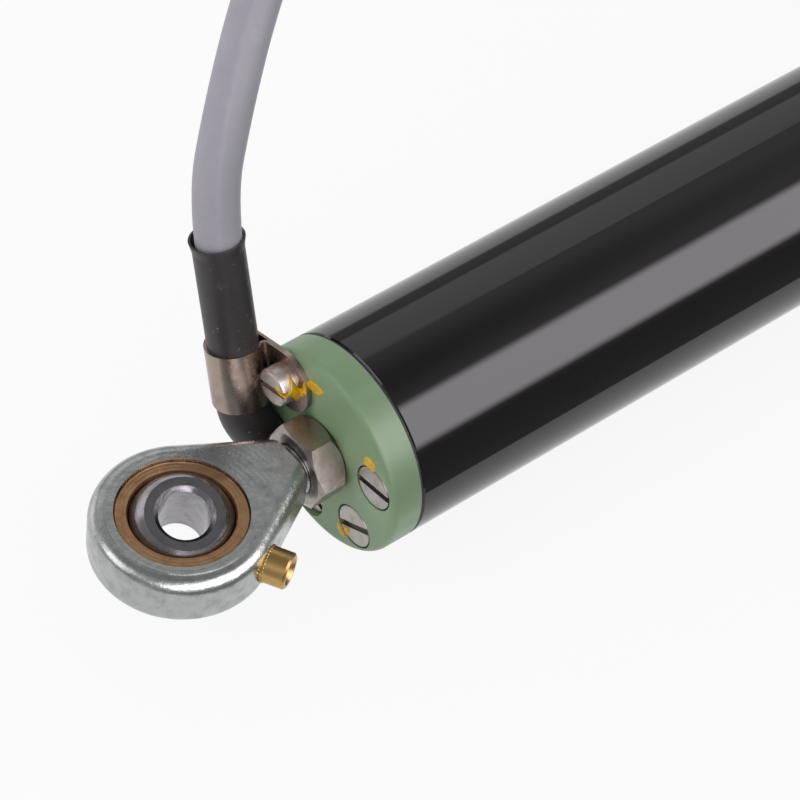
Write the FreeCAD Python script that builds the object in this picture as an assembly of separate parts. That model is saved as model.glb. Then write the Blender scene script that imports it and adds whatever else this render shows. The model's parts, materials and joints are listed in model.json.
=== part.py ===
import FreeCAD, Part
import math
import os

# Linear potentiometer: a round position sensor with a rod-end bearing at each end.
# Frame, in millimetres: the origin is the ball centre of the rear rod end, +X runs along the
# sensor towards the shaft, +Z is up, and the rear rod end's housing bore points along Z.
# The sensor lies on its side, so the tube touches the surface at minus its outer radius.

# Driving sizes of the body
BODY_R = 11.0
TUBE_WALL = 1.5
CAP_FACE_X = 17.0
CAP_FLANGE = 3.5
CAP_SPIGOT = 9.5
FRONT_FLANGE = 5.5
GASKET = 0.3
GASKET_INSET = 0.12
CAP_ROUND = 0.8
STROKE = 50.0

# Clearances: sliding parts, pressed or seated parts, threads, and stops
RUN_GAP = 0.05
SEAT_GAP = 0.02
THREAD_GAP = 0.05
SPIGOT_GAP = 0.1
STOP_GAP = 0.3
SLIDE_GAP = 0.15

# Rod-end bearing, 5 mm size
BALL_R = 5.555
BALL_W = 8.0
BORE_R = 2.5
BORE_CHAMFER = 0.45
RACE_R = 6.5
RACE_W = 5.4
RACE_LEAD = 0.35
RACE_EDGE = 0.15
HEAD_R = 8.9
HEAD_W = 5.8
HEAD_ROUND = 1.4
SPOT_FACE_R = 7.35
SPOT_FACE_H = 0.1
NECK_END_X = 12.8
NECK_END_HALF = 2.9
NECK_END_R = 4.15
NECK_TIP = 0.6
SHANK_R = 2.5
SHANK_END_X = 33.0
NUT_AF = 8.0
NUT_T = 3.5
NUT_ANGLE = 54.3
NUT_BACK_BEVEL = 1.0
NIPPLE_ANGLE = -60.0
NIPPLE_R = 1.85
NIPPLE_OUT = 2.35
NIPPLE_SEAT = 0.25
NIPPLE_SPIGOT_R = 1.2
BALL_LEAN_X = 12.4
BALL_LEAN_Y = -5.3

# Cap screws, cheese heads let in flush, and the clamp's raised one
SCREW_INSET = 3.0
SCREW_R = 1.25
SCREW_HOLE_R = 1.35
SCREW_HEAD_R = 2.3
SCREW_HEAD_H = 1.5
SCREW_SEAT_R = 2.45
SLOT_W = 0.7
SLOT_D = 0.6
REAR_SCREWS = ((163.0, 170.5, 0.0), (224.0, 150.8, 0.0), (280.0, 20.0, 0.5))
SCREW_BITE = 5.5
FRONT_SCREWS = ((60.0, 15.0), (180.0, 80.0), (300.0, -40.0))
CLAMP_SCREW_ANGLE = 46.0
CLAMP_HEAD_R = 2.0
CLAMP_HEAD_H = 1.8
CLAMP_HEAD_ROUND = 0.3
CLAMP_SLOT_ANGLE = 163.0

# Cable, its sleeve and the P-clamp
CABLE_R = 2.3
SLEEVE_R = 2.55
SLEEVE_BORE_R = 2.33
SLEEVE_LIP = 0.22
SLEEVE_LIP_L = 1.1
STRAP_T = 0.3
STRAP_W = 6.7
STRAP_TILT = 17.0
STRAP_REACH = 4.9
STRAP_BEND_R = 0.45
TAB_R = 3.35
CABLE_HOLE_R = 3.0
CABLE_HOLE_DEPTH = 2.2
CABLE_ENTRY_INSET = 3.68
CABLE_ENTRY_ANGLE = -35.0

# Shaft and guides
SHAFT_R = 4.0
SHAFT_OUT = 4.0
SHAFT_FLAT_AF = 7.0
SHAFT_FLAT_L = 3.0
SPIGOT_R = 2.5
BUSH_R = 5.0
BUSH_L = 8.0
SEAL_R = 5.2
SEAL_L = 3.0
SEAL_SQUEEZE_GAP = 0.02
RETAINER_R = 5.4
RETAINER_T = 2.0
RETAINER_BORE_R = 4.3

# Inside of the body
INSERT_R = 3.9
INSERT_END_X = 34.0
REAR_BLOCK_L = 8.0
FRONT_BLOCK_L = 6.2
CARRIER_GAP = 0.15
CARRIER_TOP_Z = 3.0
CHANNEL_HALF = 6.6
CHANNEL_FLOOR_Z = -5.9
BOARD_T = 1.0
BOARD_HALF = 6.5
TRACK_T = 0.12
TRACK_W = 2.4
TRACK_Y = (-3.4, 0.6)
CORE_R = 0.5
CORE_Y = (3.9, 4.95, 6.0)
CORE_HOLE_R = 1.7
CORE_ON_BOARD = 2.5
STOP_T = 2.0
FRONT_STOP_T = 2.5
STOP_R = 6.2
STOP_BOTTOM_Z = -4.4
CARRIAGE_L = 14.0
CARRIAGE_BOTTOM_Z = -3.6
CARRIAGE_TOP_Z = 5.2
CLIP_T = 0.5
CLIP_R = 3.2
CLIP_GROOVE_R = 1.9
WIPER_T = 0.15
WIPER_W = 2.0
WIPER_GAP = 0.03
WIPER_FOOT = 2.5
WIPER_REACH = 6.2
WIPER_TOE = 0.8

# Free cable: its route on to the coil, points chosen by hand
SLEEVE_TOP = (14.0, 14.67, 19.3)
SLEEVE_OVERLAP = 5.0
CABLE_ROUTE = (
    (14.0, 15.88, 22.9),
    (17.0, 18.1, 31.6),
    (22.5, 22.1, 39.1),
    (30.4, 27.2, 44.1),
    (39.7, 32.8, 45.4),
    (49.5, 38.2, 42.8),
    (58.5, 43.0, 36.2),
    (66.4, 47.2, 26.4),
    (73.8, 51.0, 14.9),
    (83.1, 55.4, 4.4),
    (94.3, 59.9, -3.4),
    (106.8, 62.8, -8.2),
)
COIL_ENTRY_X = 118.9
COIL_CENTRE = (134.4, 39.6)
COIL_TURN_R = 23.2
COIL_END_ANGLE = 18.0
TIE_T = 0.5
TIE_W = 3.6
TIE_HEAD = 2.4
TIE_PLAY = 0.1
CORE_TAIL_R = 0.55
CORE_TIP_R = 0.3
CORE_TIP_L = 4.0
CORE_EXIT_L = 2.0

V = FreeCAD.Vector
X_AXIS = V(1, 0, 0)
Y_AXIS = V(0, 1, 0)
Z_AXIS = V(0, 0, 1)
ORIGIN = V(0, 0, 0)

# Positions that follow from the driving sizes
FLOOR_Z = -BODY_R
BORE_OF_TUBE = BODY_R - TUBE_WALL
CARRIER_R = BORE_OF_TUBE - CARRIER_GAP
SCREW_CIRCLE_R = BODY_R - SCREW_INSET
FAR = 4 * BODY_R
JOINT_X = CAP_FACE_X + CAP_FLANGE
TUBE_X0 = JOINT_X + GASKET
BLOCK_X0 = JOINT_X + CAP_SPIGOT
BLOCK_X1 = BLOCK_X0 + REAR_BLOCK_L
REAR_SCREW_END_X = BLOCK_X0 + SCREW_BITE
SHAFT_TAIL_X = BLOCK_X1 + STOP_T + STOP_GAP
CLIP_X = SHAFT_TAIL_X + 1.0
CARRIAGE_X0 = CLIP_X + CLIP_T + 0.2
CARRIAGE_X1 = CARRIAGE_X0 + CARRIAGE_L
SHOULDER_X = CARRIAGE_X1 + 0.2
FRONT_STOP_X = CARRIAGE_X1 + STROKE + STOP_GAP
FRONT_BLOCK_X0 = FRONT_STOP_X + FRONT_STOP_T
FRONT_BLOCK_X1 = FRONT_BLOCK_X0 + FRONT_BLOCK_L
FRONT_JOINT_X = FRONT_BLOCK_X1 + CAP_SPIGOT
FRONT_FACE_X = FRONT_JOINT_X + FRONT_FLANGE
TUBE_X1 = FRONT_JOINT_X - GASKET
SHAFT_END_X = FRONT_FACE_X + SHAFT_OUT
NUT_FACE_X = CAP_FACE_X - NUT_T
FRONT_EYE_X = SHAFT_END_X + CAP_FACE_X
BOARD_TOP_Z = CHANNEL_FLOOR_Z + BOARD_T
BOARD_X0 = BLOCK_X1 + 1.0
CORE_Z = BOARD_TOP_Z + CORE_R
CLIP_GROOVE_X = CLIP_X - 0.1


def rod(x0, x1, radius, y=0.0, z=0.0):
    """Round bar along X."""
    return Part.makeCylinder(radius, x1 - x0, V(x0, y, z), X_AXIS)


def ring(x0, x1, outer, inner, y=0.0, z=0.0):
    """Round tube along X."""
    return rod(x0, x1, outer, y, z).cut(rod(x0 - 1, x1 + 1, inner, y, z))


def box(low, high):
    """Block between two corners."""
    size = [b - a for a, b in zip(low, high)]
    return Part.makeBox(size[0], size[1], size[2], V(*low))


def turned_x(points):
    """Solid of revolution about X from (x, radius) points."""
    corners = [V(x, 0, r) for x, r in points]
    face = Part.Face(Part.makePolygon(corners + [corners[0]]))
    return face.revolve(ORIGIN, X_AXIS, 360)


def turned_z(edges):
    """Solid of revolution about Z from edges in the XZ plane."""
    return Part.Face(Part.Wire(edges)).revolve(ORIGIN, Z_AXIS, 360)


def fused(shapes):
    """One solid from several that touch."""
    whole = shapes[0].multiFuse(shapes[1:])
    return whole.removeSplitter()


def polar(radius, degrees):
    """The y and z of a point on a circle about X, from +Y towards +Z."""
    angle = math.radians(degrees)
    return radius * math.cos(angle), radius * math.sin(angle)


def rounded_rim(shape, x, radius, rounding):
    """The shape with the round edge of one radius in the plane at x filleted."""
    rims = []
    for edge in shape.Edges:
        span = edge.BoundBox
        flat = span.XLength < 1e-4 and abs(span.XMin - x) < 1e-3
        if flat and abs(span.YLength / 2 - radius) < 1e-3:
            rims.append(edge)
    return shape.makeFillet(rounding, rims)


def save(node, shape):
    """Write one node and check that it is sound."""
    solids = shape.Solids
    if not solids or not shape.isValid():
        raise RuntimeError("unsound shape: " + node)
    out = solids[0] if len(solids) == 1 else Part.makeCompound(solids)
    out.exportStep("parts/" + node + ".step")
    print("%-22s solids %d volume %.1f" % (node, len(solids), shape.Volume))


# Routes of cables: straight runs joined by tangent arcs

def route_wire(points, name=""):
    """Path through corner points, each corner an arc as large as its runs allow."""
    knots = [V(*p) for p in points]
    edges = []
    radii = []
    start = knots[0]
    for before, corner, after in zip(knots, knots[1:], knots[2:]):
        to_before = before.sub(corner)
        to_after = after.sub(corner)
        reach = 0.45 * min(to_before.Length, to_after.Length)
        to_before.normalize()
        to_after.normalize()
        half_turn = (math.pi - to_before.getAngle(to_after)) / 2
        radius = reach / math.tan(half_turn)
        inwards = to_before.add(to_after).normalize()
        middle = corner.add(inwards.multiply(radius / math.cos(half_turn) - radius))
        enter = corner.add(to_before.multiply(reach))
        leave = corner.add(to_after.multiply(reach))
        edges.append(Part.LineSegment(start, enter).toShape())
        edges.append(Part.Arc(enter, middle, leave).toShape())
        radii.append(radius)
        start = leave
    edges.append(Part.LineSegment(start, knots[-1]).toShape())
    if name:
        print(name, "bend radii", " ".join("%.1f" % r for r in radii))
    return Part.Wire(edges)


def swept(wire, radius):
    """Round tube of one radius along a path."""
    first = wire.Edges[0]
    place = first.valueAt(first.FirstParameter)
    heading = first.tangentAt(first.FirstParameter)
    profile = Part.Wire(Part.makeCircle(radius, place, heading))
    pipe = wire.makePipeShell([profile], True, True)
    wanted = math.pi * radius ** 2 * wire.Length
    if abs(pipe.Volume / wanted - 1) > 0.02:
        raise RuntimeError("a swept tube has the wrong volume")
    return pipe


# Rod-end bearing, built about its ball centre with the shank along +X

def rod_end_body():
    """Forged eye with a teardrop neck, a threaded shank and a seat for the nipple."""
    half = HEAD_W / 2
    span = math.hypot(NECK_END_X, NECK_END_HALF)
    touch = math.atan2(NECK_END_HALF, NECK_END_X) + math.acos(HEAD_R / span)
    upper = V(HEAD_R * math.cos(touch), HEAD_R * math.sin(touch), -half)
    lower = V(upper.x, -upper.y, -half)
    far_upper = V(NECK_END_X, NECK_END_HALF, -half)
    far_lower = V(NECK_END_X, -NECK_END_HALF, -half)
    outline = Part.Wire([
        Part.Arc(upper, V(-HEAD_R, 0, -half), lower).toShape(),
        Part.LineSegment(lower, far_lower).toShape(),
        Part.LineSegment(far_lower, far_upper).toShape(),
        Part.LineSegment(far_upper, upper).toShape(),
    ])
    eye = Part.Face(outline).extrude(V(0, 0, HEAD_W))
    rims = []
    for edge in eye.Edges:
        middle = edge.CenterOfMass
        flat = edge.BoundBox.ZLength < 1e-6
        if flat and middle.x < NECK_END_X - 0.01:
            rims.append(edge)
    eye = eye.makeFillet(HEAD_ROUND, rims)
    taper_x = NECK_END_X - NECK_TIP
    envelope = turned_x([
        (-HEAD_R - 2, 0), (-HEAD_R - 2, HEAD_R + 4), (HEAD_R / 2, HEAD_R + 4),
        (taper_x, NECK_END_R), (NECK_END_X, NECK_END_R - NECK_TIP), (NECK_END_X, 0),
    ])
    eye = eye.common(envelope)
    face_h = HEAD_W + 2 * SPOT_FACE_H
    spot = Part.makeCylinder(SPOT_FACE_R, face_h, V(0, 0, -face_h / 2))
    shank = rod(HEAD_R - 1, SHANK_END_X, SHANK_R - THREAD_GAP)
    eye = fused([eye, spot, shank])
    eye = eye.cut(Part.makeCylinder(RACE_R, 4 * HEAD_W, V(0, 0, -2 * HEAD_W)))
    seat = rod(HEAD_R - NIPPLE_SEAT, HEAD_R + 3, NIPPLE_R + SPIGOT_GAP)
    drill = rod(RACE_R - 1, HEAD_R + 3, NIPPLE_SPIGOT_R + SEAT_GAP)
    cutter = seat.fuse(drill)
    cutter.rotate(ORIGIN, Z_AXIS, NIPPLE_ANGLE)
    return eye.cut(cutter)


def race():
    """Bronze race, spherical inside, with a small lead at each mouth."""
    half = RACE_W / 2
    hollow = BALL_R + RUN_GAP
    outer = RACE_R - SEAT_GAP
    lead_z = half - RACE_LEAD
    lead_r = math.sqrt(hollow ** 2 - lead_z ** 2)
    mouth = lead_r + RACE_LEAD / 2
    shy = outer - RACE_EDGE
    side = half - RACE_EDGE
    return turned_z([
        Part.LineSegment(V(shy, 0, -half), V(outer, 0, -side)).toShape(),
        Part.LineSegment(V(outer, 0, -side), V(outer, 0, side)).toShape(),
        Part.LineSegment(V(outer, 0, side), V(shy, 0, half)).toShape(),
        Part.LineSegment(V(shy, 0, half), V(mouth, 0, half)).toShape(),
        Part.LineSegment(V(mouth, 0, half), V(lead_r, 0, lead_z)).toShape(),
        Part.Arc(V(lead_r, 0, lead_z), V(hollow, 0, 0), V(lead_r, 0, -lead_z)).toShape(),
        Part.LineSegment(V(lead_r, 0, -lead_z), V(mouth, 0, -half)).toShape(),
        Part.LineSegment(V(mouth, 0, -half), V(shy, 0, -half)).toShape(),
    ])


def ball():
    """Hardened ball with flat faces and a chamfered bore, its bore along Z."""
    half = BALL_W / 2
    face_r = math.sqrt(BALL_R ** 2 - half ** 2)
    mouth = BORE_R + BORE_CHAMFER
    wall = half - BORE_CHAMFER
    return turned_z([
        Part.LineSegment(V(BORE_R, 0, -wall), V(mouth, 0, -half)).toShape(),
        Part.LineSegment(V(mouth, 0, -half), V(face_r, 0, -half)).toShape(),
        Part.Arc(V(face_r, 0, -half), V(BALL_R, 0, 0), V(face_r, 0, half)).toShape(),
        Part.LineSegment(V(face_r, 0, half), V(mouth, 0, half)).toShape(),
        Part.LineSegment(V(mouth, 0, half), V(BORE_R, 0, wall)).toShape(),
        Part.LineSegment(V(BORE_R, 0, wall), V(BORE_R, 0, -wall)).toShape(),
    ])


def grease_nipple():
    """Brass funnel nipple pressed into the side of the eye."""
    seat = HEAD_R - NIPPLE_SEAT
    tip = HEAD_R + NIPPLE_OUT
    inside = RACE_R + 0.3
    rim = NIPPLE_R - 0.2
    body = turned_x([
        (inside, 0), (inside, NIPPLE_SPIGOT_R), (seat, NIPPLE_SPIGOT_R), (seat, NIPPLE_R),
        (tip - 0.2, NIPPLE_R), (tip, rim), (tip, rim - 0.25), (tip - 1.0, 0.6), (tip - 1.8, 0.6),
        (tip - 1.8, 0),
    ])
    body.rotate(ORIGIN, Z_AXIS, NIPPLE_ANGLE)
    return body


def lock_nut():
    """Thin hexagon nut with both faces chamfered, seated against the cap's face."""
    corner = NUT_AF / 2 / math.cos(math.radians(30))
    points = []
    for step in range(7):
        y, z = polar(corner, NUT_ANGLE + 60 * step)
        points.append(V(NUT_FACE_X, y, z))
    hexagon = Part.Face(Part.makePolygon(points)).extrude(V(NUT_T, 0, 0))
    face_r = NUT_AF / 2 - 0.1
    depth = (corner + 0.2 - face_r) * math.tan(math.radians(30))
    far = NUT_FACE_X + NUT_T
    envelope = turned_x([
        (NUT_FACE_X, 0), (NUT_FACE_X, face_r), (NUT_FACE_X + depth, corner + 0.2),
        (far - NUT_BACK_BEVEL, corner + 0.2), (far, corner + 0.2 - NUT_BACK_BEVEL), (far, 0),
    ])
    nut = hexagon.common(envelope)
    bore = rod(NUT_FACE_X - 1, far + 1, SHANK_R)
    lead = turned_x([
        (NUT_FACE_X - 0.01, 0), (NUT_FACE_X - 0.01, SHANK_R + 0.3), (NUT_FACE_X + 0.4, SHANK_R - 0.1),
        (NUT_FACE_X + 0.4, 0),
    ])
    return nut.cut(bore).cut(lead)


def at_front(shape):
    """Turn a piece of the rear rod end round to the shaft end."""
    copy = shape.copy()
    copy.rotate(ORIGIN, Z_AXIS, 180)
    copy.translate(V(FRONT_EYE_X, 0, 0))
    return copy


def slotted_screw(head_r, head_h, rounding, head_top, length, slot_angle):
    """Screw along +X with its slotted head on the -X side."""
    shank_start = head_top + head_h
    body = turned_x([
        (head_top, 0), (head_top, head_r - rounding), (head_top + rounding * 0.35, head_r - rounding * 0.3),
        (head_top + rounding, head_r), (shank_start, head_r), (shank_start, SCREW_R),
        (shank_start + length - 0.4, SCREW_R), (shank_start + length, SCREW_R - 0.4),
        (shank_start + length, 0),
    ])
    slot = box((head_top - 1, -head_r - 1, -SLOT_W / 2), (head_top + SLOT_D, head_r + 1, SLOT_W / 2))
    slot.rotate(ORIGIN, X_AXIS, slot_angle)
    return body.cut(slot)


# Rear end

def rear_cap():
    """Cap: flange, spigot, screw seats, insert bore, cable hole and core passage."""
    cap = turned_x([
        (CAP_FACE_X, 0), (CAP_FACE_X, BODY_R), (JOINT_X, BODY_R), (JOINT_X, BORE_OF_TUBE - SPIGOT_GAP),
        (BLOCK_X0, BORE_OF_TUBE - SPIGOT_GAP), (BLOCK_X0, 0),
    ])
    cap = rounded_rim(cap, CAP_FACE_X, BODY_R, CAP_ROUND)
    cuts = [rod(CAP_FACE_X - 1, BLOCK_X0 + 1, INSERT_R + SEAT_GAP)]
    for angle, _, sink in REAR_SCREWS:
        y, z = polar(SCREW_CIRCLE_R, angle)
        cuts.append(rod(CAP_FACE_X - 1, BLOCK_X0 + 1, SCREW_HOLE_R, y, z))
        cuts.append(rod(CAP_FACE_X - 1, CAP_FACE_X + SCREW_HEAD_H + sink, SCREW_SEAT_R, y, z))
    y, z = polar(SCREW_CIRCLE_R, CLAMP_SCREW_ANGLE)
    cuts.append(rod(CAP_FACE_X - 1, BLOCK_X0 + 1, SCREW_HOLE_R, y, z))
    y, z = polar(BODY_R - CABLE_ENTRY_INSET, CABLE_ENTRY_ANGLE)
    cuts.append(rod(CAP_FACE_X - 1, CAP_FACE_X + CABLE_HOLE_DEPTH, CABLE_HOLE_R, y, z))
    cuts.append(rod(CAP_FACE_X, ENTRY_POINTS[0][0], SLEEVE_R + SPIGOT_GAP, *ENTRY_POINTS[0][1:]))
    cuts.append(rod(CAP_FACE_X, BLOCK_X0 + 1, CORE_HOLE_R, CORE_Y[1], CORE_Z))
    for cutter in cuts:
        cap = cap.cut(cutter)
    return cap


def rear_cap_screws():
    """Three cheese-head screws, two flush and one let in deeper."""
    made = []
    for angle, slot, sink in REAR_SCREWS:
        y, z = polar(SCREW_CIRCLE_R, angle)
        top = CAP_FACE_X + sink
        length = REAR_SCREW_END_X - top - SCREW_HEAD_H
        screw = slotted_screw(SCREW_HEAD_R, SCREW_HEAD_H - SEAT_GAP, 0.15, top, length, slot)
        screw.translate(V(0, y, z))
        made.append(screw)
    return Part.makeCompound(made)


def insert():
    """Brass insert in the cap that takes the rod end's shank."""
    return ring(CAP_FACE_X, INSERT_END_X, INSERT_R, SHANK_R)


# Cable clamp: a strip bent round the sleeve, its two ends stacked under one screw

STRAP_AXIS = V(0, math.sin(math.radians(STRAP_TILT)), math.cos(math.radians(STRAP_TILT)))
STRAP_ACROSS = V(0, math.cos(math.radians(STRAP_TILT)), -math.sin(math.radians(STRAP_TILT)))
STRAP_BORE_R = SLEEVE_R + SEAT_GAP
STRAP_OUT_R = STRAP_BORE_R + STRAP_T
STRAP_X = CAP_FACE_X - STRAP_OUT_R
CLAMP_Y, CLAMP_Z = polar(SCREW_CIRCLE_R, CLAMP_SCREW_ANGLE)
CLAMP_HEAD_X = CAP_FACE_X - 2 * STRAP_T - CLAMP_HEAD_H
STRAP_Y = CLAMP_Y + STRAP_REACH * STRAP_ACROSS.y
STRAP_Z = CLAMP_Z + STRAP_REACH * STRAP_ACROSS.z


def on_strap_axis(distance):
    """A point on the sleeve's axis, by its distance above the strap's middle."""
    return (STRAP_X, STRAP_Y + distance * STRAP_AXIS.y, STRAP_Z + distance * STRAP_AXIS.z)


ENTRY_Y, ENTRY_Z = polar(BODY_R - CABLE_ENTRY_INSET, CABLE_ENTRY_ANGLE)
ENTRY_POINTS = (
    (CAP_FACE_X + 3.0, ENTRY_Y, ENTRY_Z),
    (CAP_FACE_X + 1.0, ENTRY_Y, ENTRY_Z),
    (CAP_FACE_X - 1.8, ENTRY_Y + 1.0, ENTRY_Z + 1.2),
    on_strap_axis(-5.2),
    on_strap_axis(5.0),
    SLEEVE_TOP,
)


def cable_clamp():
    """P-clamp: ring open under the head, two stacked tabs, one rounded end, one hole."""
    half = STRAP_W / 2
    mean_r = STRAP_BORE_R + STRAP_T / 2
    seam_x = CAP_FACE_X - 1.5 * STRAP_T
    bend_x = seam_x - STRAP_BEND_R
    bend_y = -math.sqrt((mean_r + STRAP_BEND_R) ** 2 - (bend_x - STRAP_X) ** 2)
    tab_end = -STRAP_REACH - half - 0.1
    depth = V(0, 0, STRAP_W)
    low = V(0, 0, -half)

    def disc(x, y, radius):
        return Part.makeCylinder(radius, STRAP_W, V(x, y, -half))

    loop = disc(STRAP_X, 0, STRAP_OUT_R).cut(disc(STRAP_X, 0, STRAP_BORE_R))
    leave = math.atan2(bend_y, bend_x - STRAP_X)
    far = 2 * STRAP_OUT_R
    wedge = Part.makePolygon([
        V(STRAP_X, 0, 0).add(low), V(STRAP_X + far, 0, 0).add(low),
        V(STRAP_X + far, far * math.sin(leave), 0).add(low),
        V(STRAP_X + far * math.cos(leave), far * math.sin(leave), 0).add(low),
        V(STRAP_X, 0, 0).add(low),
    ])
    loop = loop.cut(Part.Face(wedge).extrude(depth))
    back = box((CAP_FACE_X - STRAP_T, tab_end, -half), (CAP_FACE_X, 0, half))
    back = back.cut(disc(STRAP_X, 0, STRAP_BORE_R))
    front = box((seam_x - STRAP_T / 2, tab_end, -half), (seam_x + STRAP_T / 2, bend_y, half))
    bend = disc(bend_x, bend_y, STRAP_BEND_R + STRAP_T / 2)
    bend = bend.cut(disc(bend_x, bend_y, STRAP_BEND_R - STRAP_T / 2))
    keep = Part.makePolygon([
        V(bend_x, bend_y, 0).add(low), V(bend_x + 2, bend_y, 0).add(low),
        V(bend_x + 2, bend_y + 2, 0).add(low), V(bend_x - 1.2, bend_y + 2, 0).add(low),
        V(bend_x - 2 * math.cos(leave), bend_y - 2 * math.sin(leave), 0).add(low),
        V(bend_x, bend_y, 0).add(low),
    ])
    bend = bend.common(Part.Face(keep).extrude(depth))
    strip = fused([loop, back, front, bend])
    near = CAP_FACE_X - FAR / 2
    plan_tab = Part.makeCylinder(TAB_R, FAR, V(near, -STRAP_REACH, 0), X_AXIS)
    plan_loop = box((near, -STRAP_REACH, -half), (near + FAR, FAR, half))
    strip = strip.common(fused([plan_tab, plan_loop]))
    hole = rod(CAP_FACE_X - FAR / 2, CAP_FACE_X + FAR / 2, SCREW_HOLE_R, -STRAP_REACH)
    strip = strip.cut(hole)
    strip.rotate(ORIGIN, X_AXIS, -STRAP_TILT)
    strip.translate(V(0, STRAP_Y, STRAP_Z))
    return strip


def clamp_screw():
    """Raised cheese-head screw that holds the clamp."""
    length = REAR_SCREW_END_X - CLAMP_HEAD_X - CLAMP_HEAD_H
    screw = slotted_screw(CLAMP_HEAD_R, CLAMP_HEAD_H, CLAMP_HEAD_ROUND, CLAMP_HEAD_X, length,
                          CLAMP_SLOT_ANGLE)
    screw.translate(V(0, CLAMP_Y, CLAMP_Z))
    return screw


def sleeve_heading():
    """Direction of the sleeve at its mouth."""
    return V(*ENTRY_POINTS[-1]).sub(V(*ENTRY_POINTS[-2])).normalize()


def cable_sleeve():
    """Shrink sleeve over the cable, its mouth slightly flared."""
    wire = route_wire(ENTRY_POINTS, "sleeve")
    heading = sleeve_heading()
    mouth = V(*SLEEVE_TOP)
    lip_start = mouth.sub(V(heading).multiply(SLEEVE_LIP_L))
    lip = Part.makeCone(SLEEVE_R, SLEEVE_R + SLEEVE_LIP, SLEEVE_LIP_L, lip_start, heading)
    flare = Part.makeCone(SLEEVE_BORE_R, SLEEVE_BORE_R + SLEEVE_LIP, SLEEVE_LIP_L, lip_start, heading)
    sleeve = swept(wire, SLEEVE_R).fuse(lip)
    return sleeve.cut(swept(wire, SLEEVE_BORE_R)).cut(flare)


def cable_start():
    """Where the free cable takes over, inside the sleeve's mouth."""
    back = sleeve_heading().multiply(-SLEEVE_OVERLAP)
    start = V(*SLEEVE_TOP).add(back)
    return (start.x, start.y, start.z)


def coil_layer(level):
    """One full turn of the coil, counted upwards from 0."""
    x, y = COIL_CENTRE
    turn = 2 * CABLE_R
    base = V(x, y, FLOOR_Z + TIE_T + level * turn)
    outer = Part.makeCylinder(COIL_TURN_R + CABLE_R, turn, base)
    return outer.cut(Part.makeCylinder(COIL_TURN_R - CABLE_R, turn, base))


def cable_coil():
    """Outer shape of two stacked turns and the part turn on top, where the cable ends."""
    x, y = COIL_CENTRE
    turn = 2 * CABLE_R
    base = V(x, y, FLOOR_Z + TIE_T + 2 * turn)
    sector = Part.makeCylinder(COIL_TURN_R + 2 * CABLE_R, turn, base, Z_AXIS, 90 - COIL_END_ANGLE)
    sector.rotate(base, Z_AXIS, COIL_END_ANGLE)
    lead_in = rod(COIL_ENTRY_X, x, CABLE_R, y + COIL_TURN_R, FLOOR_Z + TIE_T + CABLE_R)
    return fused([coil_layer(0), coil_layer(1), coil_layer(2).common(sector), lead_in])


def coil_tie():
    """Cable tie round both full turns on the coil's -Y side, its head on top."""
    x, y = COIL_CENTRE
    near = y - COIL_TURN_R - CABLE_R - TIE_PLAY
    far = y - COIL_TURN_R + CABLE_R + TIE_PLAY
    low = FLOOR_Z + TIE_T
    top = low + 4 * CABLE_R
    half = TIE_W / 2
    band = box((x - half, near - TIE_T, FLOOR_Z), (x + half, far + TIE_T, top + TIE_T))
    band = band.cut(box((x - TIE_W, near, low), (x + TIE_W, far, top)))
    middle = (near + far) / 2
    head_low = (x - half - 0.6, middle - TIE_HEAD, top + TIE_T / 2)
    head_high = (x + half + 0.6, middle + TIE_HEAD, top + TIE_HEAD)
    return band.fuse(box(head_low, head_high)).removeSplitter()


def core_routes():
    """Routes of the bare cores: out of the cable's end, inwards and down to the surface."""
    centre_x, centre_y = COIL_CENTRE
    angle = math.radians(COIL_END_ANGLE)
    start_x = centre_x + COIL_TURN_R * math.cos(angle)
    start_y = centre_y + COIL_TURN_R * math.sin(angle)
    rest_z = FLOOR_Z + CORE_TAIL_R
    end_z = FLOOR_Z + TIE_T + 5 * CABLE_R
    fans = (
        (0.9, -0.5, (6.0, 3.2, -0.9), (9.4, 7.6, -4.6), (10.4, 12.2, -9.4), (9.4, 16.8, None),
         (7.0, 20.8, None)),
        (0.0, 0.9, (5.0, 4.4, 0.3), (6.6, 9.4, -4.0), (5.6, 14.2, -9.2), (3.2, 18.0, None),
         (-0.2, 21.2, None)),
        (-0.9, -0.5, (4.6, 4.6, -1.4), (5.0, 9.6, -5.6), (2.8, 14.0, -9.8), (-0.6, 17.2, None),
         (-4.8, 19.8, None)),
    )
    routes = []
    for side, lift, *rest in fans:
        spots = [(0.0, -side, lift), (CORE_EXIT_L, -side, lift), *rest]
        points = []
        for along, inward, up in spots:
            x = start_x + along * math.sin(angle) - inward * math.cos(angle)
            y = start_y - along * math.cos(angle) - inward * math.sin(angle)
            points.append((x, y, rest_z if up is None else end_z + up))
        routes.append(points)
    return routes


def core_tails():
    """Insulated cores, and a compound of their bare tips."""
    tails = []
    tips = []
    for points in core_routes():
        tails.append(swept(route_wire(points, "core"), CORE_TAIL_R))
        end = V(*points[-1])
        heading = end.sub(V(*points[-2])).normalize()
        tips.append(Part.makeCylinder(CORE_TIP_R, CORE_TIP_L, end, heading))
    return tails, Part.makeCompound(tips)


# Front end

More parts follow.
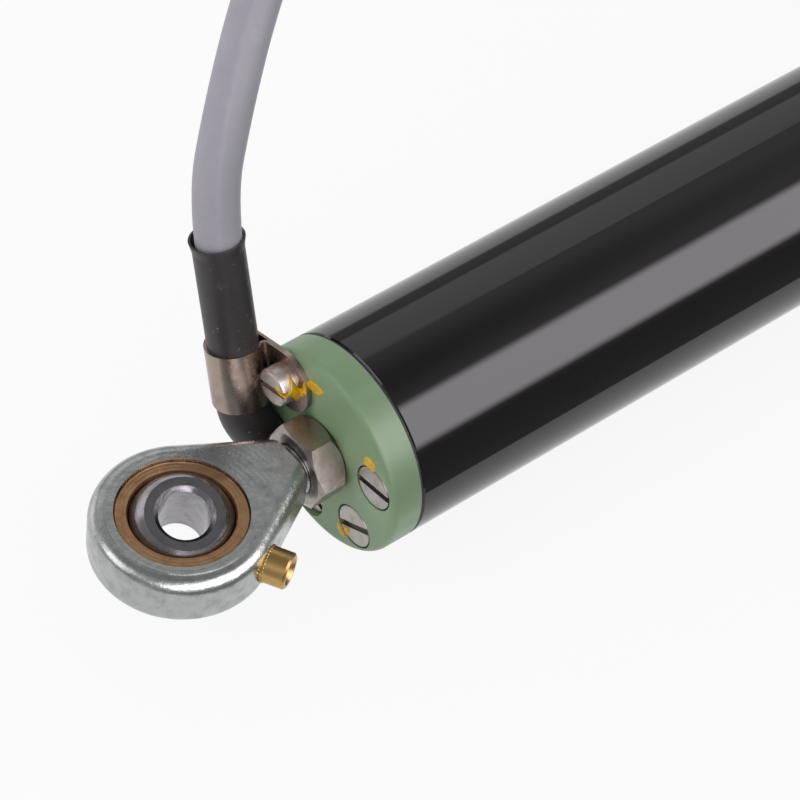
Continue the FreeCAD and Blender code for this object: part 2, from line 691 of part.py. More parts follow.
def front_cap():
    """Front cap: flange, spigot, screw seats and stepped bore for bush, seal and retainer."""
    cap = turned_x([
        (FRONT_BLOCK_X1, 0), (FRONT_BLOCK_X1, BORE_OF_TUBE - SPIGOT_GAP),
        (FRONT_JOINT_X, BORE_OF_TUBE - SPIGOT_GAP), (FRONT_JOINT_X, BODY_R), (FRONT_FACE_X, BODY_R),
        (FRONT_FACE_X, 0),
    ])
    cap = rounded_rim(cap, FRONT_FACE_X, BODY_R, CAP_ROUND)
    cuts = [
        rod(FRONT_BLOCK_X1 - 1, SEAL_X0, BUSH_R + SEAT_GAP),
        rod(SEAL_X0, RETAINER_X0, SEAL_R + SEAT_GAP),
        rod(RETAINER_X0, FRONT_FACE_X + 1, RETAINER_R + SEAT_GAP),
    ]
    for angle, _ in FRONT_SCREWS:
        y, z = polar(SCREW_CIRCLE_R, angle)
        cuts.append(rod(FRONT_BLOCK_X1 - 1, FRONT_FACE_X + 1, SCREW_HOLE_R, y, z))
        cuts.append(rod(FRONT_FACE_X - SCREW_HEAD_H, FRONT_FACE_X + 1, SCREW_SEAT_R, y, z))
    for cutter in cuts:
        cap = cap.cut(cutter)
    return cap


SEAL_X0 = FRONT_BLOCK_X1 + BUSH_L + 0.5
RETAINER_X0 = SEAL_X0 + SEAL_L + 0.1


def front_cap_screws():
    """Three flush cheese-head screws that face the shaft end."""
    made = []
    end = FRONT_BLOCK_X0 + 1.5
    for angle, slot in FRONT_SCREWS:
        y, z = polar(SCREW_CIRCLE_R, angle)
        length = FRONT_FACE_X - SCREW_HEAD_H - end
        screw = slotted_screw(SCREW_HEAD_R, SCREW_HEAD_H - SEAT_GAP, 0.15, 0, length, slot)
        screw.rotate(ORIGIN, Z_AXIS, 180)
        screw.translate(V(FRONT_FACE_X, y, z))
        made.append(screw)
    return Part.makeCompound(made)


def shaft_bush():
    """Plain bush that guides the shaft."""
    return ring(FRONT_BLOCK_X1, FRONT_BLOCK_X1 + BUSH_L, BUSH_R, SHAFT_R + RUN_GAP)


def shaft_seal():
    """Lip seal: a ring with a tapered lip towards the outside."""
    lip = SHAFT_R + SEAL_SQUEEZE_GAP
    x1 = SEAL_X0 + SEAL_L
    return turned_x([
        (SEAL_X0, SHAFT_R + 0.5), (SEAL_X0, SEAL_R), (x1, SEAL_R), (x1, SEAL_R - 0.5),
        (x1 - 0.9, SHAFT_R + 0.6), (x1, lip + 0.15), (x1 - 0.2, lip), (x1 - 1.4, SHAFT_R + 0.3),
    ])


def seal_retainer():
    """Washer pressed in ahead of the seal."""
    return ring(RETAINER_X0, RETAINER_X0 + RETAINER_T, RETAINER_R, RETAINER_BORE_R)


def gasket(x0, x1):
    """Flat seal between a cap's flange and the tube's end."""
    return ring(x0, x1, BODY_R - GASKET_INSET, BORE_OF_TUBE)


def body_tube():
    """Round tube, its outer edges broken."""
    edge = 0.15
    outer = turned_x([
        (TUBE_X0, 0), (TUBE_X0, BODY_R - edge), (TUBE_X0 + edge, BODY_R),
        (TUBE_X1 - edge, BODY_R), (TUBE_X1, BODY_R - edge), (TUBE_X1, 0),
    ])
    return outer.cut(rod(TUBE_X0 - 1, TUBE_X1 + 1, BORE_OF_TUBE))


# Inside

def element_carrier():
    """Moulded trough between the caps, with an end block for the cap screws at each end."""
    trough = rod(BLOCK_X0, FRONT_BLOCK_X1, CARRIER_R)
    far = 2 * CARRIER_R
    trough = trough.cut(box((BLOCK_X1, -far, CARRIER_TOP_Z), (FRONT_BLOCK_X0, far, far)))
    trough = trough.cut(box((BLOCK_X1, -CHANNEL_HALF, CHANNEL_FLOOR_Z),
                            (FRONT_BLOCK_X0, CHANNEL_HALF, far)))
    cuts = [
        rod(BLOCK_X0 - 1, INSERT_END_X + 0.5, INSERT_R + SEAT_GAP),
        rod(FRONT_BLOCK_X0 - 1, FRONT_BLOCK_X1 + 1, SHAFT_R + 0.6),
        rod(BLOCK_X0 - 1, BLOCK_X1 + 1, CORE_HOLE_R, CORE_Y[1], CORE_Z),
    ]
    for angle in [screw[0] for screw in REAR_SCREWS] + [CLAMP_SCREW_ANGLE]:
        y, z = polar(SCREW_CIRCLE_R, angle)
        cuts.append(rod(BLOCK_X0 - 1, REAR_SCREW_END_X + 0.5, SCREW_R + SEAT_GAP, y, z))
    for angle, _ in FRONT_SCREWS:
        y, z = polar(SCREW_CIRCLE_R, angle)
        cuts.append(rod(FRONT_BLOCK_X0 + 1, FRONT_BLOCK_X1 + 1, SCREW_R + SEAT_GAP, y, z))
    for cutter in cuts:
        trough = trough.cut(cutter)
    return trough


def front_bump_stop():
    """Cushion round the shaft on the front block, flat below where it clears the board."""
    cushion = ring(FRONT_STOP_X, FRONT_BLOCK_X0, STOP_R, SHAFT_R + 0.6)
    return cushion.cut(box((FRONT_STOP_X - 1, -STOP_R, -2 * STOP_R),
                           (FRONT_BLOCK_X0 + 1, STOP_R, STOP_BOTTOM_Z)))


def element_board():
    """Substrate of the resistance element, lying in the trough."""
    return box((BOARD_X0, -BOARD_HALF, CHANNEL_FLOOR_Z), (FRONT_BLOCK_X0, BOARD_HALF, BOARD_TOP_Z))


def track(centre_y):
    """One printed track along the board."""
    low = (CARRIAGE_X0, centre_y - TRACK_W / 2, BOARD_TOP_Z)
    high = (FRONT_STOP_X, centre_y + TRACK_W / 2, BOARD_TOP_Z + TRACK_T)
    return box(low, high)


def inner_wires():
    """The three cores from the cable's end to the board."""
    x0 = ENTRY_POINTS[0][0]
    x1 = BOARD_X0 + CORE_ON_BOARD
    return Part.makeCompound([rod(x0, x1, CORE_R, y, CORE_Z) for y in CORE_Y])


def solder_joints():
    """Half-round beads where the cores end on the board."""
    x = BOARD_X0 + CORE_ON_BOARD
    made = []
    for y in CORE_Y:
        bead = Part.makeSphere(CORE_R * 0.9, V(x, y, BOARD_TOP_Z))
        made.append(bead.common(box((x, y - 1, BOARD_TOP_Z), (x + 1, y + 1, BOARD_TOP_Z + 1))))
    return Part.makeCompound(made)


def wiper_carriage():
    """Moulded block that follows the shaft's tail along the trough."""
    half = CHANNEL_HALF - SLIDE_GAP
    block = box((CARRIAGE_X0, -half, CARRIAGE_BOTTOM_Z), (CARRIAGE_X1, half, CARRIAGE_TOP_Z))
    block = block.common(rod(CARRIAGE_X0, CARRIAGE_X1, BORE_OF_TUBE - STOP_GAP))
    waist = CARRIAGE_L / 4
    for side in (-1, 1):
        y0, y1 = sorted((side * (half - 1.6), side * (half + 1)))
        pocket = box((CARRIAGE_X0 + waist, y0, CARRIAGE_BOTTOM_Z - 1),
                     (CARRIAGE_X1 - waist, y1, CARRIAGE_TOP_Z + 1))
        block = block.cut(pocket)
    return block.cut(rod(CARRIAGE_X0 - 1, CARRIAGE_X1 + 1, SPIGOT_R + RUN_GAP))


def wiper_springs():
    """Two bent leaf springs, one over each track."""
    touch_z = BOARD_TOP_Z + TRACK_T + WIPER_GAP
    x = CARRIAGE_X0 + CARRIAGE_L / 4
    toe = x + WIPER_REACH
    made = []
    for centre_y in TRACK_Y:
        points = [
            V(x, 0, CARRIAGE_BOTTOM_Z), V(x + WIPER_FOOT, 0, CARRIAGE_BOTTOM_Z),
            V(toe, 0, touch_z + WIPER_T), V(toe + WIPER_TOE, 0, touch_z + 3 * WIPER_T),
            V(toe + WIPER_TOE, 0, touch_z + 2 * WIPER_T), V(toe, 0, touch_z),
            V(x + WIPER_FOOT, 0, CARRIAGE_BOTTOM_Z - WIPER_T), V(x, 0, CARRIAGE_BOTTOM_Z - WIPER_T),
            V(x, 0, CARRIAGE_BOTTOM_Z),
        ]
        leaf = Part.Face(Part.makePolygon(points)).extrude(V(0, WIPER_W, 0))
        leaf.translate(V(0, centre_y - WIPER_W / 2, 0))
        made.append(leaf)
    return Part.makeCompound(made)


def shaft():
    """Shaft: tail spigot with clip groove, guided bar, spanner flats and tapped end."""
    bar = turned_x([
        (SHAFT_TAIL_X, 0), (SHAFT_TAIL_X, SPIGOT_R), (CLIP_GROOVE_X, SPIGOT_R),
        (CLIP_GROOVE_X, CLIP_GROOVE_R), (CLIP_X + CLIP_T + 0.1, CLIP_GROOVE_R),
        (CLIP_X + CLIP_T + 0.1, SPIGOT_R), (SHOULDER_X, SPIGOT_R), (SHOULDER_X, SHAFT_R),
        (SHAFT_END_X - 0.3, SHAFT_R), (SHAFT_END_X, SHAFT_R - 0.3), (SHAFT_END_X, 0),
    ])
    tapped = FRONT_EYE_X - SHANK_END_X - 1
    bar = bar.cut(rod(tapped, SHAFT_END_X + 1, SHANK_R))
    for side in (-1, 1):
        y0, y1 = sorted((side * SHAFT_FLAT_AF / 2, side * (SHAFT_R + 1)))
        bar = bar.cut(box((SHAFT_END_X - SHAFT_FLAT_L, y0, -SHAFT_R), (SHAFT_END_X + 1, y1, SHAFT_R)))
    return bar


def shaft_clip():
    """Retaining clip in the tail's groove, open below."""
    clip = ring(CLIP_X, CLIP_X + CLIP_T, CLIP_R, CLIP_GROOVE_R + SEAT_GAP)
    return clip.cut(box((CLIP_X - 1, -0.8, -CLIP_R - 1), (CLIP_X + CLIP_T + 1, 0.8, 0)))


def main():
    """Build and write every node."""
    os.makedirs("parts", exist_ok=True)
    rear_ball = ball()
    rear_ball.rotate(ORIGIN, X_AXIS, BALL_LEAN_X)
    rear_ball.rotate(ORIGIN, Y_AXIS, BALL_LEAN_Y)
    save("rear_rod_end", rod_end_body())
    save("rear_race", race())
    save("rear_ball", rear_ball)
    save("rear_grease_nipple", grease_nipple())
    save("rear_lock_nut", lock_nut())
    save("rear_thread_insert", insert())
    save("rear_cap", rear_cap())
    save("rear_cap_screws", rear_cap_screws())
    save("rear_cap_gasket", gasket(JOINT_X, TUBE_X0))
    save("cable_clamp", cable_clamp())
    save("cable_clamp_screw", clamp_screw())
    save("cable_sleeve", cable_sleeve())
    held = ENTRY_POINTS[:-1] + (cable_start(),)
    save("cable_in_sleeve", swept(route_wire(held, "held cable"), CABLE_R))
    x, y = COIL_CENTRE
    coil_in = (COIL_ENTRY_X, y + COIL_TURN_R, FLOOR_Z + TIE_T + CABLE_R)
    free = (cable_start(),) + CABLE_ROUTE + (coil_in,)
    wire = route_wire(free, "free cable")
    save("cable_free", swept(wire, CABLE_R))
    save("cable_coil", cable_coil())
    save("coil_tie", coil_tie())
    turns = 2 + (90 - COIL_END_ANGLE) / 360
    coiled = math.tau * COIL_TURN_R * turns + x - COIL_ENTRY_X
    print("free cable %.1f + coil %.1f = %.1f mm" % (wire.Length, coiled, wire.Length + coiled))
    tails, tips = core_tails()
    for name, tail in zip(("core_supply", "core_wiper", "core_ground"), tails):
        save(name, tail)
    save("cable_core_tips", tips)
    save("body_tube", body_tube())
    save("element_carrier", element_carrier())
    save("element_board", element_board())
    save("resistive_track", track(TRACK_Y[0]))
    save("collector_track", track(TRACK_Y[1]))
    save("inner_wires", inner_wires())
    save("solder_joints", solder_joints())
    save("rear_bump_stop", rod(BLOCK_X1, BLOCK_X1 + STOP_T, SPIGOT_R))
    save("front_bump_stop", front_bump_stop())
    save("front_cap", front_cap())
    save("front_cap_gasket", gasket(TUBE_X1, FRONT_JOINT_X))
    save("front_cap_screws", front_cap_screws())
    save("shaft_bush", shaft_bush())
    save("shaft_seal", shaft_seal())
    save("seal_retainer", seal_retainer())
    save("wiper_carriage", wiper_carriage())
    save("wiper_springs", wiper_springs())
    save("shaft", shaft())
    save("shaft_clip", shaft_clip())
    save("front_lock_nut", at_front(lock_nut()))
    save("front_rod_end", at_front(rod_end_body()))
    save("front_race", at_front(race()))
    save("front_grease_nipple", at_front(grease_nipple()))
    save("front_ball", at_front(ball()))
    print("front eye at x", FRONT_EYE_X, "front block", FRONT_BLOCK_X0, "front stop", FRONT_STOP_X)


main()
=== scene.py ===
"""Looks of a linear potentiometer: finishes, threads, nipple feet, cable and inspection paint.

All lengths in the code are in metres unless a name ends in _mm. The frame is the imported
model's: the origin is the rear ball's centre, +X runs towards the shaft, +Z is up.
"""

import json
import logging
import math
from dataclasses import dataclass, field
from enum import Enum

import bmesh
import bpy
from mathutils import Matrix, Vector
from mathutils.bvhtree import BVHTree
from mathutils.geometry import intersect_point_line


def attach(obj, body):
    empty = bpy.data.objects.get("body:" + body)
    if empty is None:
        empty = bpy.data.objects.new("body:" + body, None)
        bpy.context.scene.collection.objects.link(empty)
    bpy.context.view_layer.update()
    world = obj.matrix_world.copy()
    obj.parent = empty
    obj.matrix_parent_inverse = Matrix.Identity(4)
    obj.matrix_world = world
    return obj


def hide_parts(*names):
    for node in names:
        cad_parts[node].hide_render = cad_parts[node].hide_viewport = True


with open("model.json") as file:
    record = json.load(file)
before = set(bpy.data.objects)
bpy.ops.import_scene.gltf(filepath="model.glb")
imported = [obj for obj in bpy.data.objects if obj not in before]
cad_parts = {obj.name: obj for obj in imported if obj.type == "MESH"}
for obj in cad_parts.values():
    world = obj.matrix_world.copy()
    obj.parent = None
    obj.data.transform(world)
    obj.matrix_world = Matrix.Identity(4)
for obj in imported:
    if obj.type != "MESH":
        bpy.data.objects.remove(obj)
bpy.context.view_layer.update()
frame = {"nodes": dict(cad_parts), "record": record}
LOG = logging.getLogger("linear_potentiometer")
MM = 0.001
BLACK, WHITE = (0.0, 0.0, 0.0, 1.0), (1.0, 1.0, 1.0, 1.0)

# The photograph's camera: its place, and which way its right, down and forward run.
CAMERA_MM = (-133.77, -158.83, 265.82)
CAMERA_RIGHT = (0.77451, -0.62554, 0.09404)
CAMERA_DOWN = (-0.43276, -0.63241, -0.64248)
CAMERA_FORWARD = (0.46136, 0.45691, -0.76051)


# Small helpers


def linear(hex_colour: str) -> tuple[float, float, float, float]:
    """Turn an sRGB hex colour into the linear values that a shader socket takes.

    Args:
        hex_colour: Six hex digits, with or without a leading #.

    Returns:
        Linear red, green and blue, and an alpha of 1.
    """
    digits = hex_colour.lstrip("#")
    channels = [int(digits[i:i + 2], 16) / 255 for i in (0, 2, 4)]
    values = [c / 12.92 if c <= 0.04045 else ((c + 0.055) / 1.055) ** 2.4 for c in channels]
    return (*values, 1.0)


def mm(*values: float) -> Vector:
    """Turn millimetres into a vector in metres."""
    return Vector(values) * MM


def placed(name: str, data: bpy.types.ID) -> bpy.types.Object:
    """Put a new object into the scene, at the origin.

    Args:
        name: The object's name.
        data: Its mesh, curve, lamp or camera.

    Returns:
        The object.
    """
    obj = bpy.data.objects.new(name, data)
    bpy.context.scene.collection.objects.link(obj)
    return obj


def mesh_of(name: str, bm: bmesh.types.BMesh) -> bpy.types.Mesh:
    """Turn a bmesh into a mesh and free it.

    Args:
        name: The mesh's name.
        bm: The finished shape.

    Returns:
        The mesh.
    """
    mesh = bpy.data.meshes.new(name)
    bm.to_mesh(mesh)
    bm.free()
    return mesh


def repeats(size_mm: float) -> float:
    """How many repeats a metre a pattern of this real size has."""
    return 1 / (size_mm * MM)


class Graph:
    """The node tree of a material, a lamp or the world, with one way of adding a node."""

    def __init__(self, owner: bpy.types.ID, output: str = "OutputMaterial") -> None:
        """Empty the owner's tree and give it an output node.

        Args:
            owner: The material, lamp or world.
            output: The output node's type name after ShaderNode.
        """
        owner.use_nodes = True
        self.owner = owner
        self.tree = owner.node_tree
        self.tree.nodes.clear()
        self.output = self.tree.nodes.new("ShaderNode" + output)

    def add(self, kind: str, inputs: dict[str | int, object] | None = None, output: str | int = 0,
            stops: tuple[tuple[float, tuple[float, ...]], ...] = (),
            **settings) -> bpy.types.NodeSocket:
        """Add a node with its settings and links.

        Args:
            kind: The node's type name after ShaderNode.
            inputs: Input name or index to its constant value, or to the socket that feeds it.
            output: Name or index of the output that is wanted.
            stops: Positions and colours of a colour ramp, lowest position first.
            settings: Properties of the node itself.

        Returns:
            The wanted output's socket.
        """
        node = self.tree.nodes.new("ShaderNode" + kind)
        for key, value in settings.items():
            setattr(node, key, value)
        for key, value in (inputs or {}).items():
            if isinstance(value, bpy.types.NodeSocket):
                self.tree.links.new(value, node.inputs[key])
            else:
                node.inputs[key].default_value = value
        if stops:
            band = node.color_ramp.elements
            while len(band) < len(stops):
                band.new(0.5)
            for element, (position, colour) in zip(band, stops):
                element.position = position
                element.color = colour
        return node.outputs[output]

    def finish(self, shader: bpy.types.NodeSocket) -> bpy.types.ID:
        """Lead a shader to the output and return the tree's owner."""
        self.tree.links.new(shader, self.output.inputs["Surface"])
        return self.owner


# Finishes


class Lay(Enum):
    """Which way the marks of a machined metal run."""

    ROUND_X = "X"
    ROUND_Z = "Z"
    PLAIN = "no direction"


@dataclass(frozen=True)
class MachinedMetal:
    """Metal with fine tool marks, a slow tone change and a little grime.

    Real turned or ground metal shows as many thin bright lines, broken by a soft mottle. The
    real marks are finer than the render shows, so they are drawn as coarse as mark_mm says.
    """

    name: str
    colour: str
    shade: str
    roughness: float
    lay: Lay = Lay.PLAIN
    centre_mm: tuple[float, float, float] = (0.0, 0.0, 0.0)
    mark_mm: float = 0.25
    mark_depth_mm: float = 0.004
    mottle_mm: float = 1.6
    grime: float = 0.25
    spread: float = 0.12
    dent_mm: float = 0.8
    dent_depth_mm: float = 0.0

    def build(self) -> bpy.types.Material:
        """Make the material.

        Returns:
            The finished material.
        """
        graph = Graph(bpy.data.materials.new(self.name))
        bright, dull = linear(self.colour), linear(self.shade)
        place = graph.add("Mapping", {"Vector": graph.add("TexCoord", output="Object"),
                                      "Location": tuple(-mm(*self.centre_mm))})
        mottle = graph.add("TexNoise", {"Vector": place, "Scale": repeats(self.mottle_mm),
                                        "Detail": 4.0, "Roughness": 0.6}, "Fac")
        dents = graph.add("TexNoise", {"Vector": place, "Scale": repeats(self.dent_mm),
                                       "Detail": 5.0, "Roughness": 0.65}, "Fac")
        if self.lay is Lay.PLAIN:
            marks = graph.add("TexNoise", {"Vector": place, "Scale": repeats(self.mottle_mm / 5),
                                           "Detail": 2.0, "Roughness": 0.5}, "Fac")
        else:
            marks = graph.add("TexWave", {"Vector": place, "Scale": repeats(self.mark_mm) / math.tau,
                                          "Distortion": 1.5, "Detail": 2.0, "Detail Scale": 1.2},
                              "Fac", wave_type="RINGS", rings_direction=self.lay.value)
        tone = graph.add("Mix", {"Factor": mottle, 6: dull, 7: bright}, 2, data_type="RGBA")
        dirt = graph.add("ValToRGB", {"Fac": mottle},
                         stops=((0.34, (self.grime,) * 3 + (1,)), (0.46, BLACK)))
        worn = graph.add("Bump", {"Height": dents, "Distance": self.dent_depth_mm * MM})
        return graph.finish(graph.add("BsdfPrincipled", {
            "Metallic": 1.0,
            "Base Color": graph.add("Mix", {"Factor": dirt, 6: tone, 7: dull}, 2, data_type="RGBA"),
            "Roughness": graph.add("MapRange", {"Value": mottle,
                                                "To Min": self.roughness + self.spread,
                                                "To Max": self.roughness - self.spread * 0.4}),
            "Normal": graph.add("Bump", {"Height": marks, "Normal": worn,
                                         "Distance": self.mark_depth_mm * MM})}))


@dataclass(frozen=True)
class SprayedPaint:
    """Paint film over metal: even colour, faint orange peel, a soft tone change."""

    name: str
    colour: str
    shade: str
    roughness: float
    peel_mm: float = 0.7
    peel_depth_mm: float = 0.006
    specular: float = 0.5
    coat: float = 0.0
    coat_roughness: float = 0.05
    patch_mm: float = 7.0
    speck_mm: float = 0.35
    speck_share: float = 0.35

    def build(self) -> bpy.types.Material:
        """Make the material.

        Returns:
            The finished material.
        """
        graph = Graph(bpy.data.materials.new(self.name))
        dull = linear(self.shade)
        place = graph.add("TexCoord", output="Object")
        patch = graph.add("TexNoise", {"Vector": place, "Scale": repeats(self.patch_mm),
                                       "Detail": 4.0, "Roughness": 0.6}, "Fac")
        peel = graph.add("TexNoise", {"Vector": place, "Scale": repeats(self.peel_mm),
                                      "Detail": 2.0, "Roughness": 0.4}, "Fac")
        speck = graph.add("TexNoise", {"Vector": place, "Scale": repeats(self.speck_mm),
                                       "Detail": 1.0, "Roughness": 0.4}, "Fac")
        tone = graph.add("Mix", {"Factor": patch, 6: dull, 7: linear(self.colour)}, 2,
                         data_type="RGBA")
        specks = graph.add("ValToRGB", {"Fac": speck},
                           stops=((0.70, BLACK), (0.76, (self.speck_share,) * 3 + (1,))))
        return graph.finish(graph.add("BsdfPrincipled", {
            "Base Color": graph.add("Mix", {"Factor": specks, 6: tone, 7: dull}, 2,
                                    data_type="RGBA"),
            "Roughness": graph.add("MapRange", {"Value": patch, "To Min": self.roughness + 0.05,
                                                "To Max": self.roughness - 0.04}),
            "Normal": graph.add("Bump", {"Height": peel, "Distance": self.peel_depth_mm * MM}),
            "Specular IOR Level": self.specular, "Coat Weight": self.coat,
            "Coat Roughness": self.coat_roughness}))


@dataclass(frozen=True)
class Moulded:
    """Moulded or extruded plastic and rubber: fine grain, soft sheen, light scuffs."""

    name: str
    colour: str
    shade: str
    roughness: float
    grain_mm: float = 0.25
    grain_depth_mm: float = 0.01
    stretch: tuple[float, float, float] = (1.0, 1.0, 1.0)
    scuff: float = 0.15
    scuff_colour: str = "C8C6C4"
    soft: float = 0.0
    soft_depth_mm: float = 0.6
    dust: float = 0.0
    dust_mm: float = 0.55
    dust_colour: str = "8E8984"
    patch_mm: float = 3.0

    def build(self) -> bpy.types.Material:
        """Make the material.

        Returns:
            The finished material.
        """
        graph = Graph(bpy.data.materials.new(self.name))
        place = graph.add("TexCoord", output="Object")
        along = graph.add("Mapping", {"Vector": place, "Scale": self.stretch})
        grain = graph.add("TexNoise", {"Vector": along, "Scale": repeats(self.grain_mm),
                                       "Detail": 3.0, "Roughness": 0.55}, "Fac")
        broad = graph.add("TexNoise", {"Vector": place, "Scale": repeats(self.patch_mm),
                                       "Detail": 5.0, "Roughness": 0.65}, "Fac")
        tone = graph.add("Mix", {"Factor": broad, 6: linear(self.shade), 7: linear(self.colour)}, 2,
                         data_type="RGBA")
        scuffs = graph.add("ValToRGB", {"Fac": broad},
                           stops=((0.60, BLACK), (0.72, (self.scuff,) * 3 + (1,))))
        colour = graph.add("Mix", {"Factor": scuffs, 6: tone, 7: linear(self.scuff_colour)}, 2,
                           data_type="RGBA")
        if self.dust > 0:
            speck = graph.add("TexNoise", {"Vector": place, "Scale": repeats(self.dust_mm),
                                           "Detail": 1.0, "Roughness": 0.4}, "Fac")
            specks = graph.add("ValToRGB", {"Fac": speck},
                               stops=((0.735, BLACK), (0.765, (self.dust,) * 3 + (1,))))
            colour = graph.add("Mix", {"Factor": specks, 6: colour, 7: linear(self.dust_colour)}, 2,
                               data_type="RGBA")
        return graph.finish(graph.add("BsdfPrincipled", {
            "Base Color": colour,
            "Roughness": graph.add("MapRange", {"Value": broad, "To Min": self.roughness - 0.06,
                                                "To Max": self.roughness + 0.08}),
            "Normal": graph.add("Bump", {"Height": grain, "Distance": self.grain_depth_mm * MM}),
            "Subsurface Weight": self.soft, "Subsurface Scale": self.soft_depth_mm * MM}))


@dataclass(frozen=True)
class DriedPaint:
    """Inspection paint put on with a brush: thick, glossy, thin at its edges."""

    name: str
    colour: str
    shade: str
    pool_mm: float = 0.5
    pool_depth_mm: float = 0.05
    soft_depth_mm: float = 0.2

    def build(self) -> bpy.types.Material:
        """Make the material.

        Returns:
            The finished material.
        """
        graph = Graph(bpy.data.materials.new(self.name))
        pool = graph.add("TexNoise", {"Vector": graph.add("TexCoord", output="Object"),
                                      "Scale": repeats(self.pool_mm), "Detail": 3.0,
                                      "Roughness": 0.6}, "Fac")
        thin = graph.add("ValToRGB", {"Fac": pool}, stops=((0.35, BLACK), (0.65, WHITE)))
        return graph.finish(graph.add("BsdfPrincipled", {
            "Base Color": graph.add("Mix", {"Factor": thin, 6: linear(self.shade),
                                            7: linear(self.colour)}, 2, data_type="RGBA"),
            "Normal": graph.add("Bump", {"Height": pool, "Distance": self.pool_depth_mm * MM}),
            "Roughness": 0.32, "Subsurface Weight": 0.1,
            "Subsurface Scale": self.soft_depth_mm * MM}))


@dataclass(frozen=True)
class CoreColours:
    """Thin smooth insulation in three colours, told apart by where each core lies."""

    name: str
    near: str
    middle: str
    far: str
    first_y_mm: float
    second_y_mm: float
    grain_mm: float = 0.6
    grain_depth_mm: float = 0.01

    def build(self) -> bpy.types.Material:
        """Make the material.

        Returns:
            The finished material.
        """
        graph = Graph(bpy.data.materials.new(self.name))
        place = graph.add("TexCoord", output="Object")
        y = graph.add("SeparateXYZ", {"Vector": place}, "Y")
        colour = linear(self.near)
        for edge_mm, next_core in ((self.first_y_mm, self.middle), (self.second_y_mm, self.far)):
            past = graph.add("Math", {0: y, 1: edge_mm * MM}, operation="GREATER_THAN")
            colour = graph.add("Mix", {"Factor": past, 6: colour, 7: linear(next_core)}, 2,
                               data_type="RGBA")
        grain = graph.add("TexNoise", {"Vector": place, "Scale": repeats(self.grain_mm),
                                       "Detail": 2.0, "Roughness": 0.5}, "Fac")
        return graph.finish(graph.add("BsdfPrincipled", {
            "Base Color": colour,
            "Roughness": graph.add("MapRange", {"Value": grain, "To Min": 0.28, "To Max": 0.42}),
            "Normal": graph.add("Bump", {"Height": grain, "Distance": self.grain_depth_mm * MM})}))


